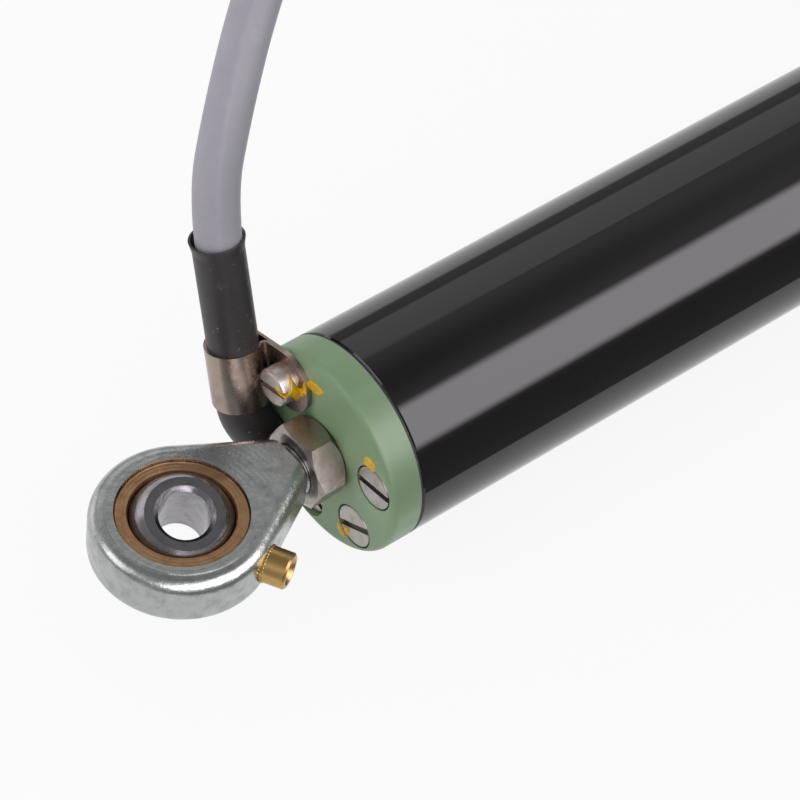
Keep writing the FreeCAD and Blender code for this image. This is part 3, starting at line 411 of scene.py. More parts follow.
class Finishes:
    """Every finish of the sensor, built once and kept by a short key."""

    def __init__(self, front_eye_mm: float) -> None:
        """Build all the materials.

        Args:
            front_eye_mm: X of the front eye's centre.
        """
        rear, front = (0.0, 0.0, 0.0), (front_eye_mm, 0.0, 0.0)
        zinc = {"colour": "C0C2C1", "shade": "8C9090", "roughness": 0.24, "lay": Lay.ROUND_Z,
                "mark_mm": 0.30, "mark_depth_mm": 0.005, "mottle_mm": 1.5, "grime": 0.55,
                "dent_mm": 0.9, "dent_depth_mm": 0.05}
        bronze = {"colour": "C39C76", "shade": "8A6648", "roughness": 0.30, "lay": Lay.ROUND_Z,
                  "mark_mm": 0.20, "mark_depth_mm": 0.010, "mottle_mm": 1.2, "grime": 0.5,
                  "dent_mm": 0.6, "dent_depth_mm": 0.02}
        steel = {"colour": "A09EA1", "shade": "777579", "roughness": 0.20, "lay": Lay.ROUND_Z,
                 "mark_mm": 0.16, "mark_depth_mm": 0.003, "mottle_mm": 1.1, "grime": 0.4,
                 "spread": 0.08, "dent_mm": 0.6, "dent_depth_mm": 0.012}
        turned = {"colour": "C8A66C", "shade": "9C7D4A", "roughness": 0.28, "mark_mm": 0.2,
                  "mark_depth_mm": 0.004, "grime": 0.2}
        specs = {
            # Barrel-plated zinc: a cool grey that is scuffed soft and dented from handling.
            "zinc_rear": MachinedMetal("zinc_plated_steel_rear", centre_mm=rear, **zinc),
            "zinc_front": MachinedMetal("zinc_plated_steel_front", centre_mm=front, **zinc),
            # Turned bronze gone brown: warm rings round the ball, dark where grease sits.
            "bronze_rear": MachinedMetal("bearing_bronze_rear", centre_mm=rear, **bronze),
            "bronze_front": MachinedMetal("bearing_bronze_front", centre_mm=front, **bronze),
            # Sintered bronze: darker and duller than the turned races.
            "bronze_bush": MachinedMetal("bearing_bronze_bush", "9A7350", "5E4029", 0.4, Lay.ROUND_X),
            # Ground steel: sharp dark and bright bands that follow the ball's curve.
            "ball_rear": MachinedMetal("ground_ball_steel_rear", centre_mm=rear, **steel),
            "ball_front": MachinedMetal("ground_ball_steel_front", centre_mm=front, **steel),
            # Turned brass: clear gold that runs from dark to bright round the barrel.
            "brass": MachinedMetal("turned_brass", **turned),
            # Nickel on flat screw heads: one even pale tone with grime in low spots.
            "nickel": MachinedMetal("bright_nickel_plate", "B4AFAA", "88827D", 0.26, Lay.PLAIN,
                                    mark_depth_mm=0.004, mottle_mm=1.2, grime=0.5),
            # Nickel on a hot-formed nut: each flat takes its own tone, mottled warm.
            "nut": MachinedMetal("nickel_plated_nut", "B0ABA6", "80776F", 0.26, Lay.ROUND_X,
                                 mark_mm=0.3, mark_depth_mm=0.004, mottle_mm=1.6, grime=0.45,
                                 dent_mm=0.7, dent_depth_mm=0.02),
            # Satin nickel: a blurred highlight down the round screw head.
            "satin": MachinedMetal("satin_nickel_screw", "D6CDC8", "A59A95", 0.40, Lay.PLAIN,
                                   mark_depth_mm=0.006, mottle_mm=1.0, grime=0.5),
            # Nickel on bent strip: bright where it bends, brownish and wavy where it is flat.
            "strip": MachinedMetal("nickel_plated_strip", "B0A298", "817269", 0.24, Lay.PLAIN,
                                   mark_depth_mm=0.003, mottle_mm=1.8, grime=0.35,
                                   dent_mm=1.2, dent_depth_mm=0.02),
            # Dipped tin: a soft, slightly uneven silver.
            "tin": MachinedMetal("tinned_copper", "C9C9C6", "9A9A96", 0.35),
            # Ground stainless: long clean reflections, broken by very fine rings.
            "shaft": MachinedMetal("ground_stainless_shaft", "B9B9BA", "9C9C9E", 0.16, Lay.ROUND_X,
                                   mark_mm=0.18, mark_depth_mm=0.0015, grime=0.1, spread=0.05),
            # Bare spring alloy: a pale gold that tells the wipers from the steel.
            "spring": MachinedMetal("bare_spring_alloy", "C2AB78", "8F7A4E", 0.3),
            # Oiled spring steel: nearly black with a soft shine.
            "clip": MachinedMetal("oiled_spring_steel", "5A5A5E", "3A3A3C", 0.35),
            # Satin paint: an even grey green with a broad dull sheen and faint orange peel.
            "sage": SprayedPaint("satin_sage_paint", "839F79", "728E69", 0.42, coat=0.12,
                                 coat_roughness=0.3),
            # Gloss enamel: black that shows the lamps as long sharp bands down the tube.
            "black": SprayedPaint("gloss_black_enamel", "0F0E10", "0A0A0B", 0.13, peel_mm=2.5,
                                  peel_depth_mm=0.004, specular=0.0, coat=1.0,
                                  coat_roughness=0.05),
            # Rubber: black with no shine, so that the joint reads as a gap.
            "rubber": Moulded("black_rubber", "171717", "0E0E0E", 0.62, grain_mm=0.15),
            # Shrunk tubing: charcoal with lengthwise grain and pale dust on it.
            "sleeve": Moulded("shrink_sleeve", "2F2A2D", "221E21", 0.44, grain_mm=0.45,
                              grain_depth_mm=0.012, stretch=(1.0, 1.0, 0.35), scuff=0.06,
                              dust=0.5),
            # Soft cable jacket: a flat lilac grey with a wide faint sheen.
            "jacket": Moulded("grey_cable_jacket", "A9A7B1", "9997A1", 0.6, grain_mm=0.35,
                              grain_depth_mm=0.006, scuff=0.12),
            # Filled black plastic: dark grey with a grainy sheen.
            "moulded_black": Moulded("moulded_black_plastic", "1C1C1D", "121213", 0.45),
            # Unfilled natural plastic: cream, and light goes a little way in.
            "moulded_natural": Moulded("moulded_natural_plastic", "D8CFB4", "C6BB9C", 0.42, soft=0.2),
            # Board laminate: brown with the weave's streaks along it.
            "laminate": Moulded("board_laminate", "8A6233", "6E4B22", 0.38, grain_mm=0.5,
                                stretch=(0.3, 1.5, 1.0)),
            # Printed carbon: smooth and black, shinier than the plastic beside it.
            "carbon": Moulded("carbon_film", "19191B", "111113", 0.28, grain_mm=0.1,
                              grain_depth_mm=0.003, scuff=0.0),
            # Inspection paint: thick orange yellow, darker where it pooled.
            "paint": DriedPaint("yellow_inspection_paint", "E8B907", "C49A02"),
            # Thin core insulation: clear colours with a light waxy shine.
            "core_red": Moulded("red_core_insulation", "B3271E", "94190F", 0.36, grain_mm=0.5),
            "core_yellow": Moulded("yellow_core_insulation", "E2B81C", "C79A0C", 0.36, grain_mm=0.5),
            "core_black": Moulded("black_core_insulation", "1E1E20", "121214", 0.36, grain_mm=0.5),
            # The same three colours inside, side by side on the board.
            "cores": CoreColours("core_insulation", "1E1E20", "E2B81C", "B3271E", 4.4, 5.5),
        }
        self.made = {key: spec.build() for key, spec in specs.items()}

    def __getitem__(self, key: str) -> bpy.types.Material:
        """The material of one finish."""
        return self.made[key]


# Mesh tools


@dataclass
class Piece:
    """A new visible piece: where it rides, what it wears and what it stands for."""

    name: str
    body: str
    slot: str | None
    material: bpy.types.Material
    replaces: tuple[str, ...] = ()
    sharp_deg: float = 32.0

    def settle(self, obj: bpy.types.Object) -> bpy.types.Object:
        """Give the finished object its material, hang it on its body and hide the nodes it replaces.

        Args:
            obj: A mesh or curve object at the origin.

        Returns:
            The same object.
        """
        obj.data.materials.clear()
        obj.data.materials.append(self.material)
        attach(obj, self.body)
        if self.replaces:
            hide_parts(*self.replaces)
        LOG.info("made %s on %s", self.name, self.body)
        return obj

    def from_bmesh(self, bm: bmesh.types.BMesh) -> bpy.types.Object:
        """Merge, turn outwards, shade and hand over a bmesh.

        Args:
            bm: The finished shape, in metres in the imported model's frame.

        Returns:
            The piece's object.
        """
        bmesh.ops.remove_doubles(bm, verts=bm.verts, dist=1e-7)
        bmesh.ops.recalc_face_normals(bm, faces=bm.faces)
        limit = math.radians(self.sharp_deg)
        for face in bm.faces:
            face.smooth = True
        for edge in bm.edges:
            edge.smooth = len(edge.link_faces) == 2 and edge.calc_face_angle(0.0) < limit
        return self.settle(placed(self.name, mesh_of(self.name, bm)))


def onto_front_eye(bm: bmesh.types.BMesh, front_eye_mm: float) -> None:
    """Turn a shape made for the rear eye half round and move it to the front eye.

    Args:
        bm: The shape, in its place on the rear eye.
        front_eye_mm: X of the front eye's centre.
    """
    place = Matrix.Translation(mm(front_eye_mm, 0, 0)) @ Matrix.Rotation(math.pi, 4, "Z")
    bmesh.ops.transform(bm, matrix=place, verts=bm.verts)


# Sub-assemblies


@dataclass
class CadDress:
    """Puts each carried-over CAD node in its real finish."""

    finishes: Finishes
    wear: dict[str, str] = field(default_factory=lambda: {
        "rear_rod_end": "zinc_rear", "front_rod_end": "zinc_front",
        "rear_race": "bronze_rear", "front_race": "bronze_front",
        "rear_ball": "ball_rear", "front_ball": "ball_front",
        "rear_grease_nipple": "brass", "front_grease_nipple": "brass",
        "rear_thread_insert": "brass", "rear_lock_nut": "nut", "front_lock_nut": "nut",
        "rear_cap_screws": "nickel", "front_cap_screws": "nickel", "cable_clamp_screw": "satin",
        "cable_clamp": "strip", "seal_retainer": "strip", "rear_cap": "sage", "front_cap": "sage",
        "body_tube": "black", "rear_cap_gasket": "rubber", "front_cap_gasket": "rubber",
        "rear_bump_stop": "rubber", "front_bump_stop": "rubber", "shaft_seal": "rubber",
        "cable_sleeve": "sleeve", "cable_in_sleeve": "jacket", "core_supply": "core_red",
        "core_wiper": "core_yellow", "core_ground": "core_black", "inner_wires": "cores",
        "cable_core_tips": "tin", "solder_joints": "tin",
        "element_carrier": "moulded_black", "coil_tie": "moulded_black",
        "wiper_carriage": "moulded_natural", "element_board": "laminate",
        "resistive_track": "carbon", "collector_track": "carbon", "wiper_springs": "spring",
        "shaft_clip": "clip", "shaft": "shaft", "shaft_bush": "bronze_bush",
    })

    def dress(self) -> None:
        """Assign the materials to the nodes' own slots."""
        for node, key in self.wear.items():
            obj = frame["nodes"][node]
            for slot in obj.material_slots:
                slot.material = self.finishes[key]
            LOG.info("dressed %s in %s", node, self.finishes[key].name)


@dataclass
class ShankThreads:
    """The bit of M5 thread that shows between each rod end's neck and its lock nut."""

    finishes: Finishes
    front_eye_mm: float
    neck_x_mm: float = 12.8
    nut_x_mm: float = 13.5
    radius_mm: float = 2.5
    pitch_mm: float = 0.8
    rise_mm: float = 0.16
    root_mm: float = 0.05
    foot_share: float = 0.6
    crest_share: float = 0.15
    hidden_mm: float = 0.3
    steps_a_turn: int = 72

    def ridge(self) -> bmesh.types.BMesh:
        """Wind one thread ridge from inside the neck to inside the nut.

        Returns:
            The ridge about the X axis.
        """
        bm = bmesh.new()
        wide, narrow = self.pitch_mm * self.foot_share / 2, self.pitch_mm * self.crest_share / 2
        foot, crest = self.radius_mm - self.root_mm, self.radius_mm + self.rise_mm
        profile = ((-wide, foot), (-narrow, crest), (narrow, crest), (wide, foot))
        first, last = self.neck_x_mm - self.hidden_mm, self.nut_x_mm + self.hidden_mm
        bm.faces.new([bm.verts.new(mm(first + along, 0, radius)) for along, radius in profile])
        turns = (last - first) / self.pitch_mm
        steps = round(turns * self.steps_a_turn)
        bmesh.ops.spin(bm, geom=bm.verts[:] + bm.edges[:] + bm.faces[:], cent=(0, 0, 0), axis=(1, 0, 0),
                       dvec=mm((last - first) / steps, 0, 0), angle=math.tau * turns, steps=steps)
        return bm

    def build(self) -> None:
        """Cut both threads."""
        for end, body in (("rear", "housing"), ("front", "shaft")):
            bm = self.ridge()
            if end == "front":
                onto_front_eye(bm, self.front_eye_mm)
            Piece(f"{end}_shank_thread", body, "zinc_plated_steel",
                  self.finishes[f"zinc_{end}"]).from_bmesh(bm)


@dataclass
class NippleCollars:
    """The knurled foot of each brass nipple, pressed against the eye's side."""

    finishes: Finishes
    front_eye_mm: float
    angle_deg: float = -60.0
    from_mm: float = 8.75
    to_mm: float = 9.06
    radius_mm: float = 1.94
    tooth_mm: float = 0.07
    chamfer_share: float = 0.75
    teeth: int = 30
    points_a_tooth: int = 4

    def collar(self) -> bmesh.types.BMesh:
        """A low toothed disc along the nipple's axis.

        Returns:
            The disc in its place on the rear eye.
        """
        bm = bmesh.new()
        bmesh.ops.create_circle(bm, cap_ends=True, segments=self.teeth * self.points_a_tooth,
                                radius=self.radius_mm * MM)
        bm.verts.ensure_lookup_table()
        half = self.points_a_tooth // 2
        gaps = [vert for vert in bm.verts if vert.index % self.points_a_tooth >= half]
        inward = 1 - self.tooth_mm / self.radius_mm
        bmesh.ops.scale(bm, vec=(inward, inward, 1), verts=gaps)
        top = bm.faces[:]
        chamfer = self.tooth_mm * self.chamfer_share
        for rise, share in ((self.to_mm - self.from_mm - chamfer, 1.0),
                            (chamfer, 1 - chamfer / self.radius_mm)):
            # Its edges go with the face, or the face it rises from would stay inside.
            region = top + [edge for face in top for edge in face.edges]
            made = bmesh.ops.extrude_face_region(bm, geom=region)["geom"]
            top = [item for item in made if isinstance(item, bmesh.types.BMFace)]
            verts = [item for item in made if isinstance(item, bmesh.types.BMVert)]
            bmesh.ops.translate(bm, vec=mm(0, 0, rise), verts=verts)
            bmesh.ops.scale(bm, vec=(share, share, 1), verts=verts)
        place = (Matrix.Rotation(math.radians(self.angle_deg), 4, "Z")
                 @ Matrix.Translation(mm(self.from_mm, 0, 0)) @ Matrix.Rotation(math.pi / 2, 4, "Y"))
        bmesh.ops.transform(bm, matrix=place, verts=bm.verts)
        return bm

    def build(self) -> None:
        """Press both collars on."""
        for end, body in (("rear", "housing"), ("front", "shaft")):
            bm = self.collar()
            if end == "front":
                onto_front_eye(bm, self.front_eye_mm)
            Piece(f"{end}_nipple_collar", body, "brass", self.finishes["brass"],
                  sharp_deg=25.0).from_bmesh(bm)


@dataclass
class Cable:
    """The free cable: one smooth line from the sleeve's mouth to its stripped end."""

    finishes: Finishes
    diameter_mm: float = 4.6
    sleeve_top_mm: tuple[float, float, float] = (14.0, 14.67, 19.3)
    inside_mm: float = 5.0
    route_mm: tuple[tuple[float, float, float], ...] = (
        (14.0, 15.88, 22.9), (17.0, 18.1, 31.6), (22.5, 22.1, 39.1), (30.4, 27.2, 44.1),
        (39.7, 32.8, 45.4), (49.5, 38.2, 42.8), (58.5, 43.0, 36.2), (66.4, 47.2, 26.4),
        (73.8, 51.0, 14.9), (83.1, 55.4, 4.4), (94.3, 59.9, -3.4), (106.8, 62.8, -8.2),
    )
    entry_x_mm: float = 118.9
    coil_centre_mm: tuple[float, float] = (134.4, 39.6)
    coil_turn_r_mm: float = 23.2
    coil_end_deg: float = 18.0
    floor_z_mm: float = -11.0
    tie_mm: float = 0.5
    points_a_turn: int = 20

    def coil_points(self) -> list[tuple[float, float, float]]:
        """Control points of the stacked turns, wound clockwise from the lead-in.

        Each turn lies flat and climbs one diameter over the last quarter of its way round.

        Returns:
            Points in millimetres, from the coil's entry to the cable's end.
        """
        x0, y0 = self.coil_centre_mm
        low = self.floor_z_mm + self.tie_mm + self.diameter_mm / 2
        turns = 2 + (90 - self.coil_end_deg) / 360
        steps = round(turns * self.points_a_turn)
        points = [(self.entry_x_mm, y0 + self.coil_turn_r_mm, low)]
        for step in range(steps + 1):
            turn = turns * step / steps
            whole = math.floor(turn)
            climb = max(0.0, (turn - whole) * 4 - 3)
            angle = math.pi / 2 - turn * math.tau
            points.append((x0 + self.coil_turn_r_mm * math.cos(angle),
                           y0 + self.coil_turn_r_mm * math.sin(angle),
                           low + (whole + climb) * self.diameter_mm))
        return points

    def build(self) -> bpy.types.Object:
        """Make the cable as one NURBS line with a round section.

        Returns:
            The cable's object.
        """
        first = Vector(self.route_mm[0]) - Vector(self.sleeve_top_mm)
        start = Vector(self.sleeve_top_mm) - first.normalized() * self.inside_mm
        points = [tuple(start), *self.route_mm, *self.coil_points()]
        curve = bpy.data.curves.new("cable_line", "CURVE")
        curve.dimensions = "3D"
        curve.resolution_u = 10
        curve.bevel_depth = self.diameter_mm / 2 * MM
        curve.bevel_resolution = 12
        curve.use_fill_caps = True
        spline = curve.splines.new("NURBS")
        spline.points.add(len(points) - 1)
        for point, place in zip(spline.points, points):
            point.co = (*(mm(*place)), 1.0)
        spline.order_u = 3
        spline.use_endpoint_u = True
        obj = Piece("cable_line", "housing", "grey_cable_jacket", self.finishes["jacket"],
                    ("cable_free", "cable_coil")).settle(placed("cable_line", curve))
        # The photographed tube mirrors no lead, so this one is kept out of reflections.
        obj.visible_glossy = False
        return obj


@dataclass
class InspectionPaint:
    """Marks of yellow paint brushed over the rear screws after tightening.

    Each mark is an outline in a plane that faces the camera's place. Its points are laid down
    from there onto whatever lies behind, so the paint runs over heads, rims and gaps.
    """

    finishes: Finishes
    grid_mm: float = 0.10
    thick_mm: float = 0.14
    edge_mm: float = 0.22
    sunk_mm: float = 0.03
    reach_mm: float = 6.0
    longest_mm: float = 0.9
    under: tuple[str, ...] = ("rear_cap", "rear_cap_screws", "cable_clamp", "cable_clamp_screw")
    # Each mark: its name, the middle of its plane, and its outline there, rightwards and down.
    marks_mm: tuple[tuple[str, tuple[float, float, float],
                          tuple[tuple[float, float], ...]], ...] = (
        ("clamp_screw", (16.0, 4.4, 6.9), (
            (-1.56, 0.50), (-1.34, 0.36), (-1.08, 0.69), (-0.79, 0.98), (-0.46, 1.05),
            (-0.17, 0.87), (-0.06, 0.50), (-0.11, 0.14), (-0.22, -0.30), (-0.35, -0.67),
            (-0.37, -0.87), (-0.20, -0.76), (0.05, -0.38), (0.35, 0.03), (0.64, 0.39),
            (0.93, 0.60), (1.12, 0.49), (1.17, 0.14), (1.30, -0.01), (1.47, 0.36),
            (1.54, 0.80), (1.47, 1.31), (1.25, 1.16), (1.15, 1.38), (0.93, 1.44),
            (0.68, 1.75), (0.38, 1.71), (0.20, 1.44), (-0.06, 1.29), (-0.28, 1.42),
            (-0.46, 1.55), (-0.79, 1.44), (-1.16, 1.11), (-1.45, 0.80))),
        ("cap_dash", (17.0, 1.9, 7.8), (
            (-0.85, -0.61), (-0.50, -0.79), (-0.14, -0.57), (0.34, -0.13), (0.81, 0.45),
            (0.63, 0.69), (0.23, 0.70), (-0.14, 0.49), (-0.50, 0.12), (-0.78, -0.24))),
        ("upper_screw", (17.0, -6.7, 5.2), (
            (-0.49, -0.51), (-0.22, -0.61), (0.18, -0.31), (0.51, 0.22), (0.55, 0.75),
            (0.25, 0.82), (-0.02, 0.49), (-0.35, 0.26), (-0.55, -0.04))),
        ("lower_screw_rim", (17.0, -3.9, -7.6), (
            (-0.22, -0.57), (0.02, -0.36), (0.16, 0.09), (0.40, 0.53), (0.64, 0.88),
            (0.40, 0.98), (0.09, 0.74), (-0.22, 0.22), (-0.33, -0.26))),
        ("lower_screw_head", (16.9, -4.7, -7.2), (
            (-0.32, -0.54), (0.19, -0.38), (0.48, -0.10), (0.43, 0.35), (0.21, 0.49),
            (-0.05, 0.11), (-0.23, -0.23))),
    )

    def ground(self) -> BVHTree:
        """Gather the surfaces that the paint lies on.

        Returns:
            One search tree of them all.
        """
        points, faces = [], []
        for name in self.under:
            obj = frame["nodes"][name]
            first = len(points)
            points.extend(obj.matrix_world @ vert.co for vert in obj.data.vertices)
            faces.extend([first + index for index in face.vertices] for face in obj.data.polygons)
        return BVHTree.FromPolygons(points, faces)

    @staticmethod
    def smooth_outline(outline: tuple[tuple[float, float], ...], steps: int = 5) -> list[Vector]:
        """Round an outline's corners by a closed curve through its points.

        Args:
            outline: Corner points in order.
            steps: Points a side.

        Returns:
            The finer outline.
        """
        corners = [Vector(point) for point in outline]
        count = len(corners)
        fine = []
        for index in range(count):
            a, b, c, d = (corners[(index + shift) % count] for shift in (-1, 0, 1, 2))
            for step in range(steps):
                t = step / steps
                fine.append(0.5 * (2 * b + (c - a) * t + (2 * a - 5 * b + 4 * c - d) * t * t
                                   + (3 * b - a - 3 * c + d) * t ** 3))
        return fine

    @staticmethod
    def edge_distance(point: Vector, outline: list[Vector]) -> float:
        """Distance from a point to the nearest side of an outline.

        Args:
            point: The point.
            outline: The outline's corners in order.

        Returns:
            The distance, in the points' own unit.
        """
        best = math.inf
        for a, b in zip(outline, outline[1:] + outline[:1]):
            foot, share = intersect_point_line(point, a, b)
            nearest = a if share < 0 else b if share > 1 else Vector(foot[:2])
            best = min(best, (point - nearest).length)
        return best

    def patch(self, edge: list[Vector]) -> bmesh.types.BMesh:
        """A flat patch inside an outline, cut into small cells.

        Args:
            edge: The outline in its plane, in millimetres.

        Returns:
            The patch in millimetres, in the XY plane.
        """
        bm = bmesh.new()
        bm.faces.new([bm.verts.new((point.x, point.y, 0)) for point in edge])
        for axis in (0, 1):
            first = min(point[axis] for point in edge)
            last = max(point[axis] for point in edge)
            normal = (1 - axis, axis, 0)
            for step in range(1, math.ceil((last - first) / self.grid_mm)):
                at = first + step * self.grid_mm
                bmesh.ops.bisect_plane(bm, geom=bm.verts[:] + bm.edges[:] + bm.faces[:], dist=1e-5,
                                       plane_co=(at * normal[0], at * normal[1], 0), plane_no=normal)
        bmesh.ops.triangulate(bm, faces=bm.faces[:])
        return bm

    def mark(self, ground: BVHTree, anchor_mm: tuple[float, float, float],
             outline_mm: tuple[tuple[float, float], ...]) -> bmesh.types.BMesh:
        """Lay one mark down as a thin closed skin.

        Args:
            ground: What it lies on.
            anchor_mm: The middle of the outline's plane.
            outline_mm: The mark's outline in that plane.

        Returns:
            The mark in its place, in metres.
        """
        edge = self.smooth_outline(outline_mm)
        bm = self.patch(edge)
        anchor = Vector(anchor_mm)
        path = (anchor - Vector(CAMERA_MM)).normalized()
        across, down = Vector(CAMERA_RIGHT), Vector(CAMERA_DOWN)
        lift = bm.verts.layers.float_vector.new("lift")
        for vert in bm.verts:
            share = min(1.0, self.edge_distance(vert.co.xy, edge) / self.edge_mm)
            start = anchor + across * vert.co.x + down * vert.co.y - path * self.reach_mm
            spot, normal, _, _ = ground.ray_cast(start * MM, path)
            if spot is None:
                spot, normal = (start + path * self.reach_mm) * MM, -path
            away = (normal - path).normalized()
            vert.co = spot - away * self.sunk_mm * MM
            vert[lift] = away * (self.sunk_mm + self.thick_mm * math.sqrt(1 - (1 - share) ** 2)) * MM
        torn = [face for face in bm.faces
                if max(side.calc_length() for side in face.edges) > self.longest_mm * MM]
        bmesh.ops.delete(bm, geom=torn, context="FACES")
        skin = bmesh.ops.extrude_face_region(bm, geom=bm.faces[:], use_keep_orig=True)["geom"]
        for vert in [item for item in skin if isinstance(item, bmesh.types.BMVert)]:
            vert.co += vert[lift]
        return bm

    def build(self) -> bpy.types.Object:
        """Brush on all the marks.

        Returns:
            The paint's object.
        """
        ground = self.ground()
        whole = bmesh.new()
        for name, anchor_mm, outline_mm in self.marks_mm:
            mesh = mesh_of(name, self.mark(ground, anchor_mm, outline_mm))
            whole.from_mesh(mesh)
            bpy.data.meshes.remove(mesh)
            LOG.info("brushed %s", name)
        piece = Piece("inspection_paint", "housing", None, self.finishes["paint"], sharp_deg=75.0)
        return piece.from_bmesh(whole)


# Studio


@dataclass(frozen=True)
class Softbox:
    """A rectangular lamp that faces the sensor and fades at its edges.

    It hangs at a distance in the direction of towards, with size as its width and height. A
    radiance of 1 is white. Feather is the share of each side over which it fades. Gloss and matt
    say whether reflections show it and whether it lights matt surfaces.
    """

    name: str
    towards: tuple[float, float, float]
    distance: float
    size: tuple[float, float]
    radiance: float
    feather: tuple[float, float] = (0.1, 0.1)
    gloss: bool = True
    matt: bool = True

    def hang(self, target_mm: tuple[float, float, float], tint: tuple[float, float, float]) -> None:
        """Hang the lamp.

        Args:
            target_mm: The point it faces.
            tint: Its light's linear colour.
        """
        data = bpy.data.lights.new(self.name, "AREA")
        data.shape = "RECTANGLE"
        data.size, data.size_y = self.size
        data.energy = self.radiance * math.pi * data.size * data.size_y
        data.color = tint
        graph = Graph(data, "OutputLight")
        where = graph.add("NewGeometry", output="Parametric")
        lit = 1.0
        for axis, share in zip("XY", self.feather):
            along = graph.add("SeparateXYZ", {"Vector": where}, axis)
            for start, end in ((0.0, share), (1.0, 1.0 - share)):
                fade = graph.add("MapRange", {"Value": along, "From Min": start, "From Max": end},
                                 interpolation_type="SMOOTHSTEP")
                lit = graph.add("Math", {0: lit, 1: fade}, operation="MULTIPLY")
        graph.finish(graph.add("Emission", {"Strength": lit}))
        obj = placed(self.name, data)
        obj.visible_glossy = self.gloss
        obj.visible_diffuse = self.matt
        aim = mm(*target_mm)
        obj.location = aim + Vector(self.towards).normalized() * self.distance
        obj.rotation_euler = (aim - obj.location).to_track_quat("-Z", "Y").to_euler()


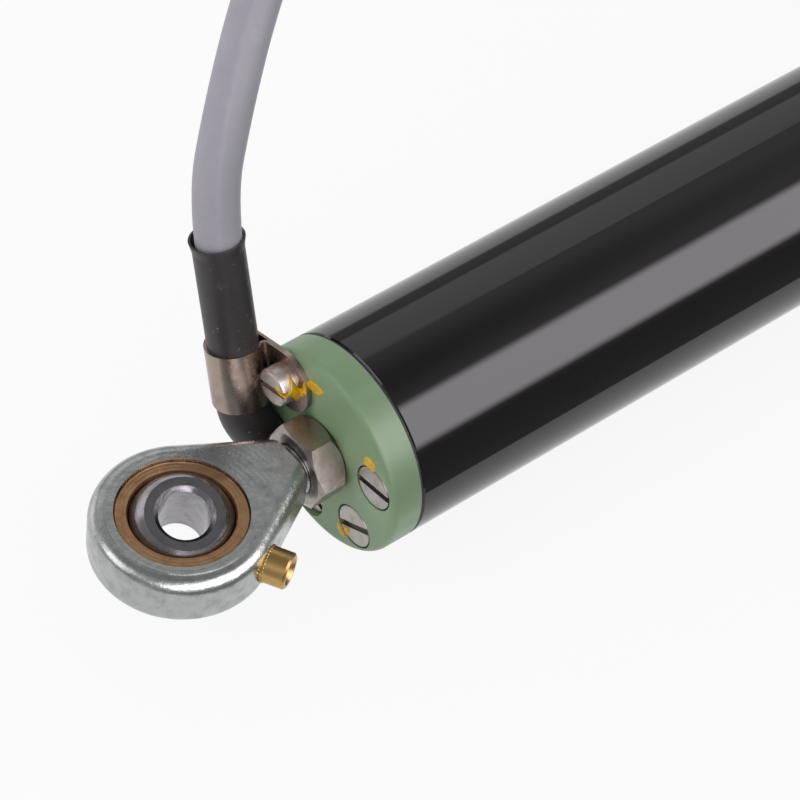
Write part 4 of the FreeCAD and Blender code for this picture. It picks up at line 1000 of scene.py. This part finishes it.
@dataclass
class Studio:
    """Pale floor, soft boxes and the camera at the photograph's place."""

    lens_mm: float = 160.03
    floor_z_mm: float = -11.0
    floor_half_mm: float = 4000.0
    card_y_mm: float = -26.0
    card_far_mm: float = 600.0
    card_top_mm: float = 85.0
    card_lift_mm: float = 0.2
    lamp_target_mm: tuple[float, float, float] = (40.0, 0.0, 0.0)
    lamp_tint: tuple[float, float, float] = (1.0, 0.95, 0.99)
    lamps: tuple[Softbox, ...] = (
        Softbox("key_gloss", (0.05, -0.80, 0.60), 0.80, (1.90, 0.80), 4.3, (0.05, 0.20), matt=False),
        Softbox("key_softbox", (0.05, -0.80, 0.60), 0.80, (1.60, 0.66), 1.0, gloss=False),
        Softbox("fill_softbox", (0.35, 0.80, 0.55), 0.90, (0.80, 0.50), 0.45),
        Softbox("side_softbox", (-0.35, 0.90, 0.15), 0.80, (0.60, 0.36), 1.1),
        Softbox("back_softbox", (-0.75, 0.35, 0.60), 0.80, (0.50, 0.40), 2.2),
    )
    ambient: float = 0.32
    floor_glow: float = 0.9
    card_glow: float = 0.22
    # How high one looks, from the horizon at 0 to straight up at 1, and the grey seen there.
    walls: tuple[tuple[float, float], ...] = (
        (0.0, 0.95), (0.06, 0.28), (0.30, 0.32), (0.45, 0.42), (0.60, 0.50), (0.79, 0.56),
        (0.88, 0.26))

    def camera(self) -> None:
        """Place the camera."""
        data = bpy.data.cameras.new("camera")
        data.lens = self.lens_mm
        data.sensor_width = 36.0
        data.clip_start = 0.01
        data.clip_end = 50.0
        obj = placed("camera", data)
        turn = Matrix((CAMERA_RIGHT, [-c for c in CAMERA_DOWN], [-c for c in CAMERA_FORWARD]))
        obj.matrix_world = Matrix.Translation(mm(*CAMERA_MM)) @ turn.transposed().to_4x4()
        bpy.context.scene.camera = obj

    def sheet(self, name: str, corners_mm: list[tuple[float, float, float]],
              material: bpy.types.Material) -> bpy.types.Object:
        """Set up a flat four-cornered sheet as part of the studio.

        Args:
            name: The sheet's name.
            corners_mm: Its corners in order, in millimetres.
            material: What it is made of.

        Returns:
            The sheet's object.
        """
        bm = bmesh.new()
        bm.faces.new([bm.verts.new(mm(*corner)) for corner in corners_mm])
        obj = placed(name, mesh_of(name, bm))
        obj.data.materials.append(material)
        return obj

    def floor(self) -> None:
        """Lay the pale floor: white to the camera and in reflections, but it keeps shadows."""
        graph = Graph(bpy.data.materials.new("pale_floor"))
        seen = graph.add("LightPath", output="Is Camera Ray")
        for ray in ("Is Glossy Ray", "Is Transmission Ray"):
            seen = graph.add("Math", {0: seen, 1: graph.add("LightPath", output=ray)},
                             operation="MAXIMUM")
        share = graph.add("Math", {0: seen, 1: self.floor_glow}, operation="MULTIPLY")
        matt = graph.add("BsdfDiffuse", {"Color": (0.82, 0.82, 0.82, 1)})
        glow = graph.add("Emission", {"Color": WHITE, "Strength": 1.0})
        graph.finish(graph.add("MixShader", {0: share, 1: matt, 2: glow}))
        far, z = self.floor_half_mm, self.floor_z_mm
        self.sheet("floor", [(-far, -far, z), (far, -far, z), (far, far, z), (-far, far, z)],
                   graph.owner)

    def cards(self) -> None:
        """Set two dark cards beside the sensor, seen only in reflections, as is done for gloss."""
        graph = Graph(bpy.data.materials.new("dark_card"))
        graph.finish(graph.add("Emission", {"Color": WHITE, "Strength": self.card_glow}))
        near, far, high = self.card_y_mm, self.card_far_mm, self.card_top_mm
        low = self.floor_z_mm + self.card_lift_mm
        lying = [(-far, near, low), (-far, -far, low), (far, -far, low), (far, near, low)]
        standing = [(-far, -far, low), (-far, -far, high), (far, -far, high), (far, -far, low)]
        for name, corners in (("dark_card_lying", lying), ("dark_card_standing", standing)):
            card = self.sheet(name, corners, graph.owner)
            card.visible_camera = False
            card.visible_diffuse = False
            card.visible_shadow = False
            card.visible_transmission = False

    def world(self) -> None:
        """Pale walls all round, a darker ceiling, and extra light on matt surfaces."""
        world = bpy.data.worlds.new("studio")
        bpy.context.scene.world = world
        graph = Graph(world, "OutputWorld")
        height = graph.add("SeparateXYZ", {"Vector": graph.add("TexCoord", output="Generated")}, "Z")
        walls = graph.add("ValToRGB", {"Fac": height},
                          stops=tuple((at, (grey,) * 3 + (1,)) for at, grey in self.walls))
        back = graph.add("Background", {"Color": walls})
        dark = graph.add("Background", {"Strength": 0.0})
        fill = graph.add("Background", {"Color": (0.8, 0.8, 0.8, 1), "Strength": self.ambient})
        matt = graph.add("LightPath", output="Is Diffuse Ray")
        extra = graph.add("MixShader", {0: matt, 1: dark, 2: fill})
        graph.finish(graph.add("AddShader", {0: back, 1: extra}))

    def build(self) -> None:
        """Make the whole studio."""
        self.floor()
        self.cards()
        self.world()
        self.camera()
        for lamp in self.lamps:
            lamp.hang(self.lamp_target_mm, self.lamp_tint)
        bpy.context.scene.view_settings.view_transform = "Standard"
        LOG.info("studio ready")


def main() -> None:
    """Build the finishes, the pieces and the studio, in that order."""
    front_eye = frame["record"]["mounts"][1]["pos_m"][0] / MM
    finishes = Finishes(front_eye)
    CadDress(finishes).dress()
    ShankThreads(finishes, front_eye).build()
    NippleCollars(finishes, front_eye).build()
    Cable(finishes).build()
    InspectionPaint(finishes).build()
    Studio().build()


if __name__ == "__main__":
    logging.basicConfig(level=logging.INFO, format="%(name)s: %(message)s")
    main()
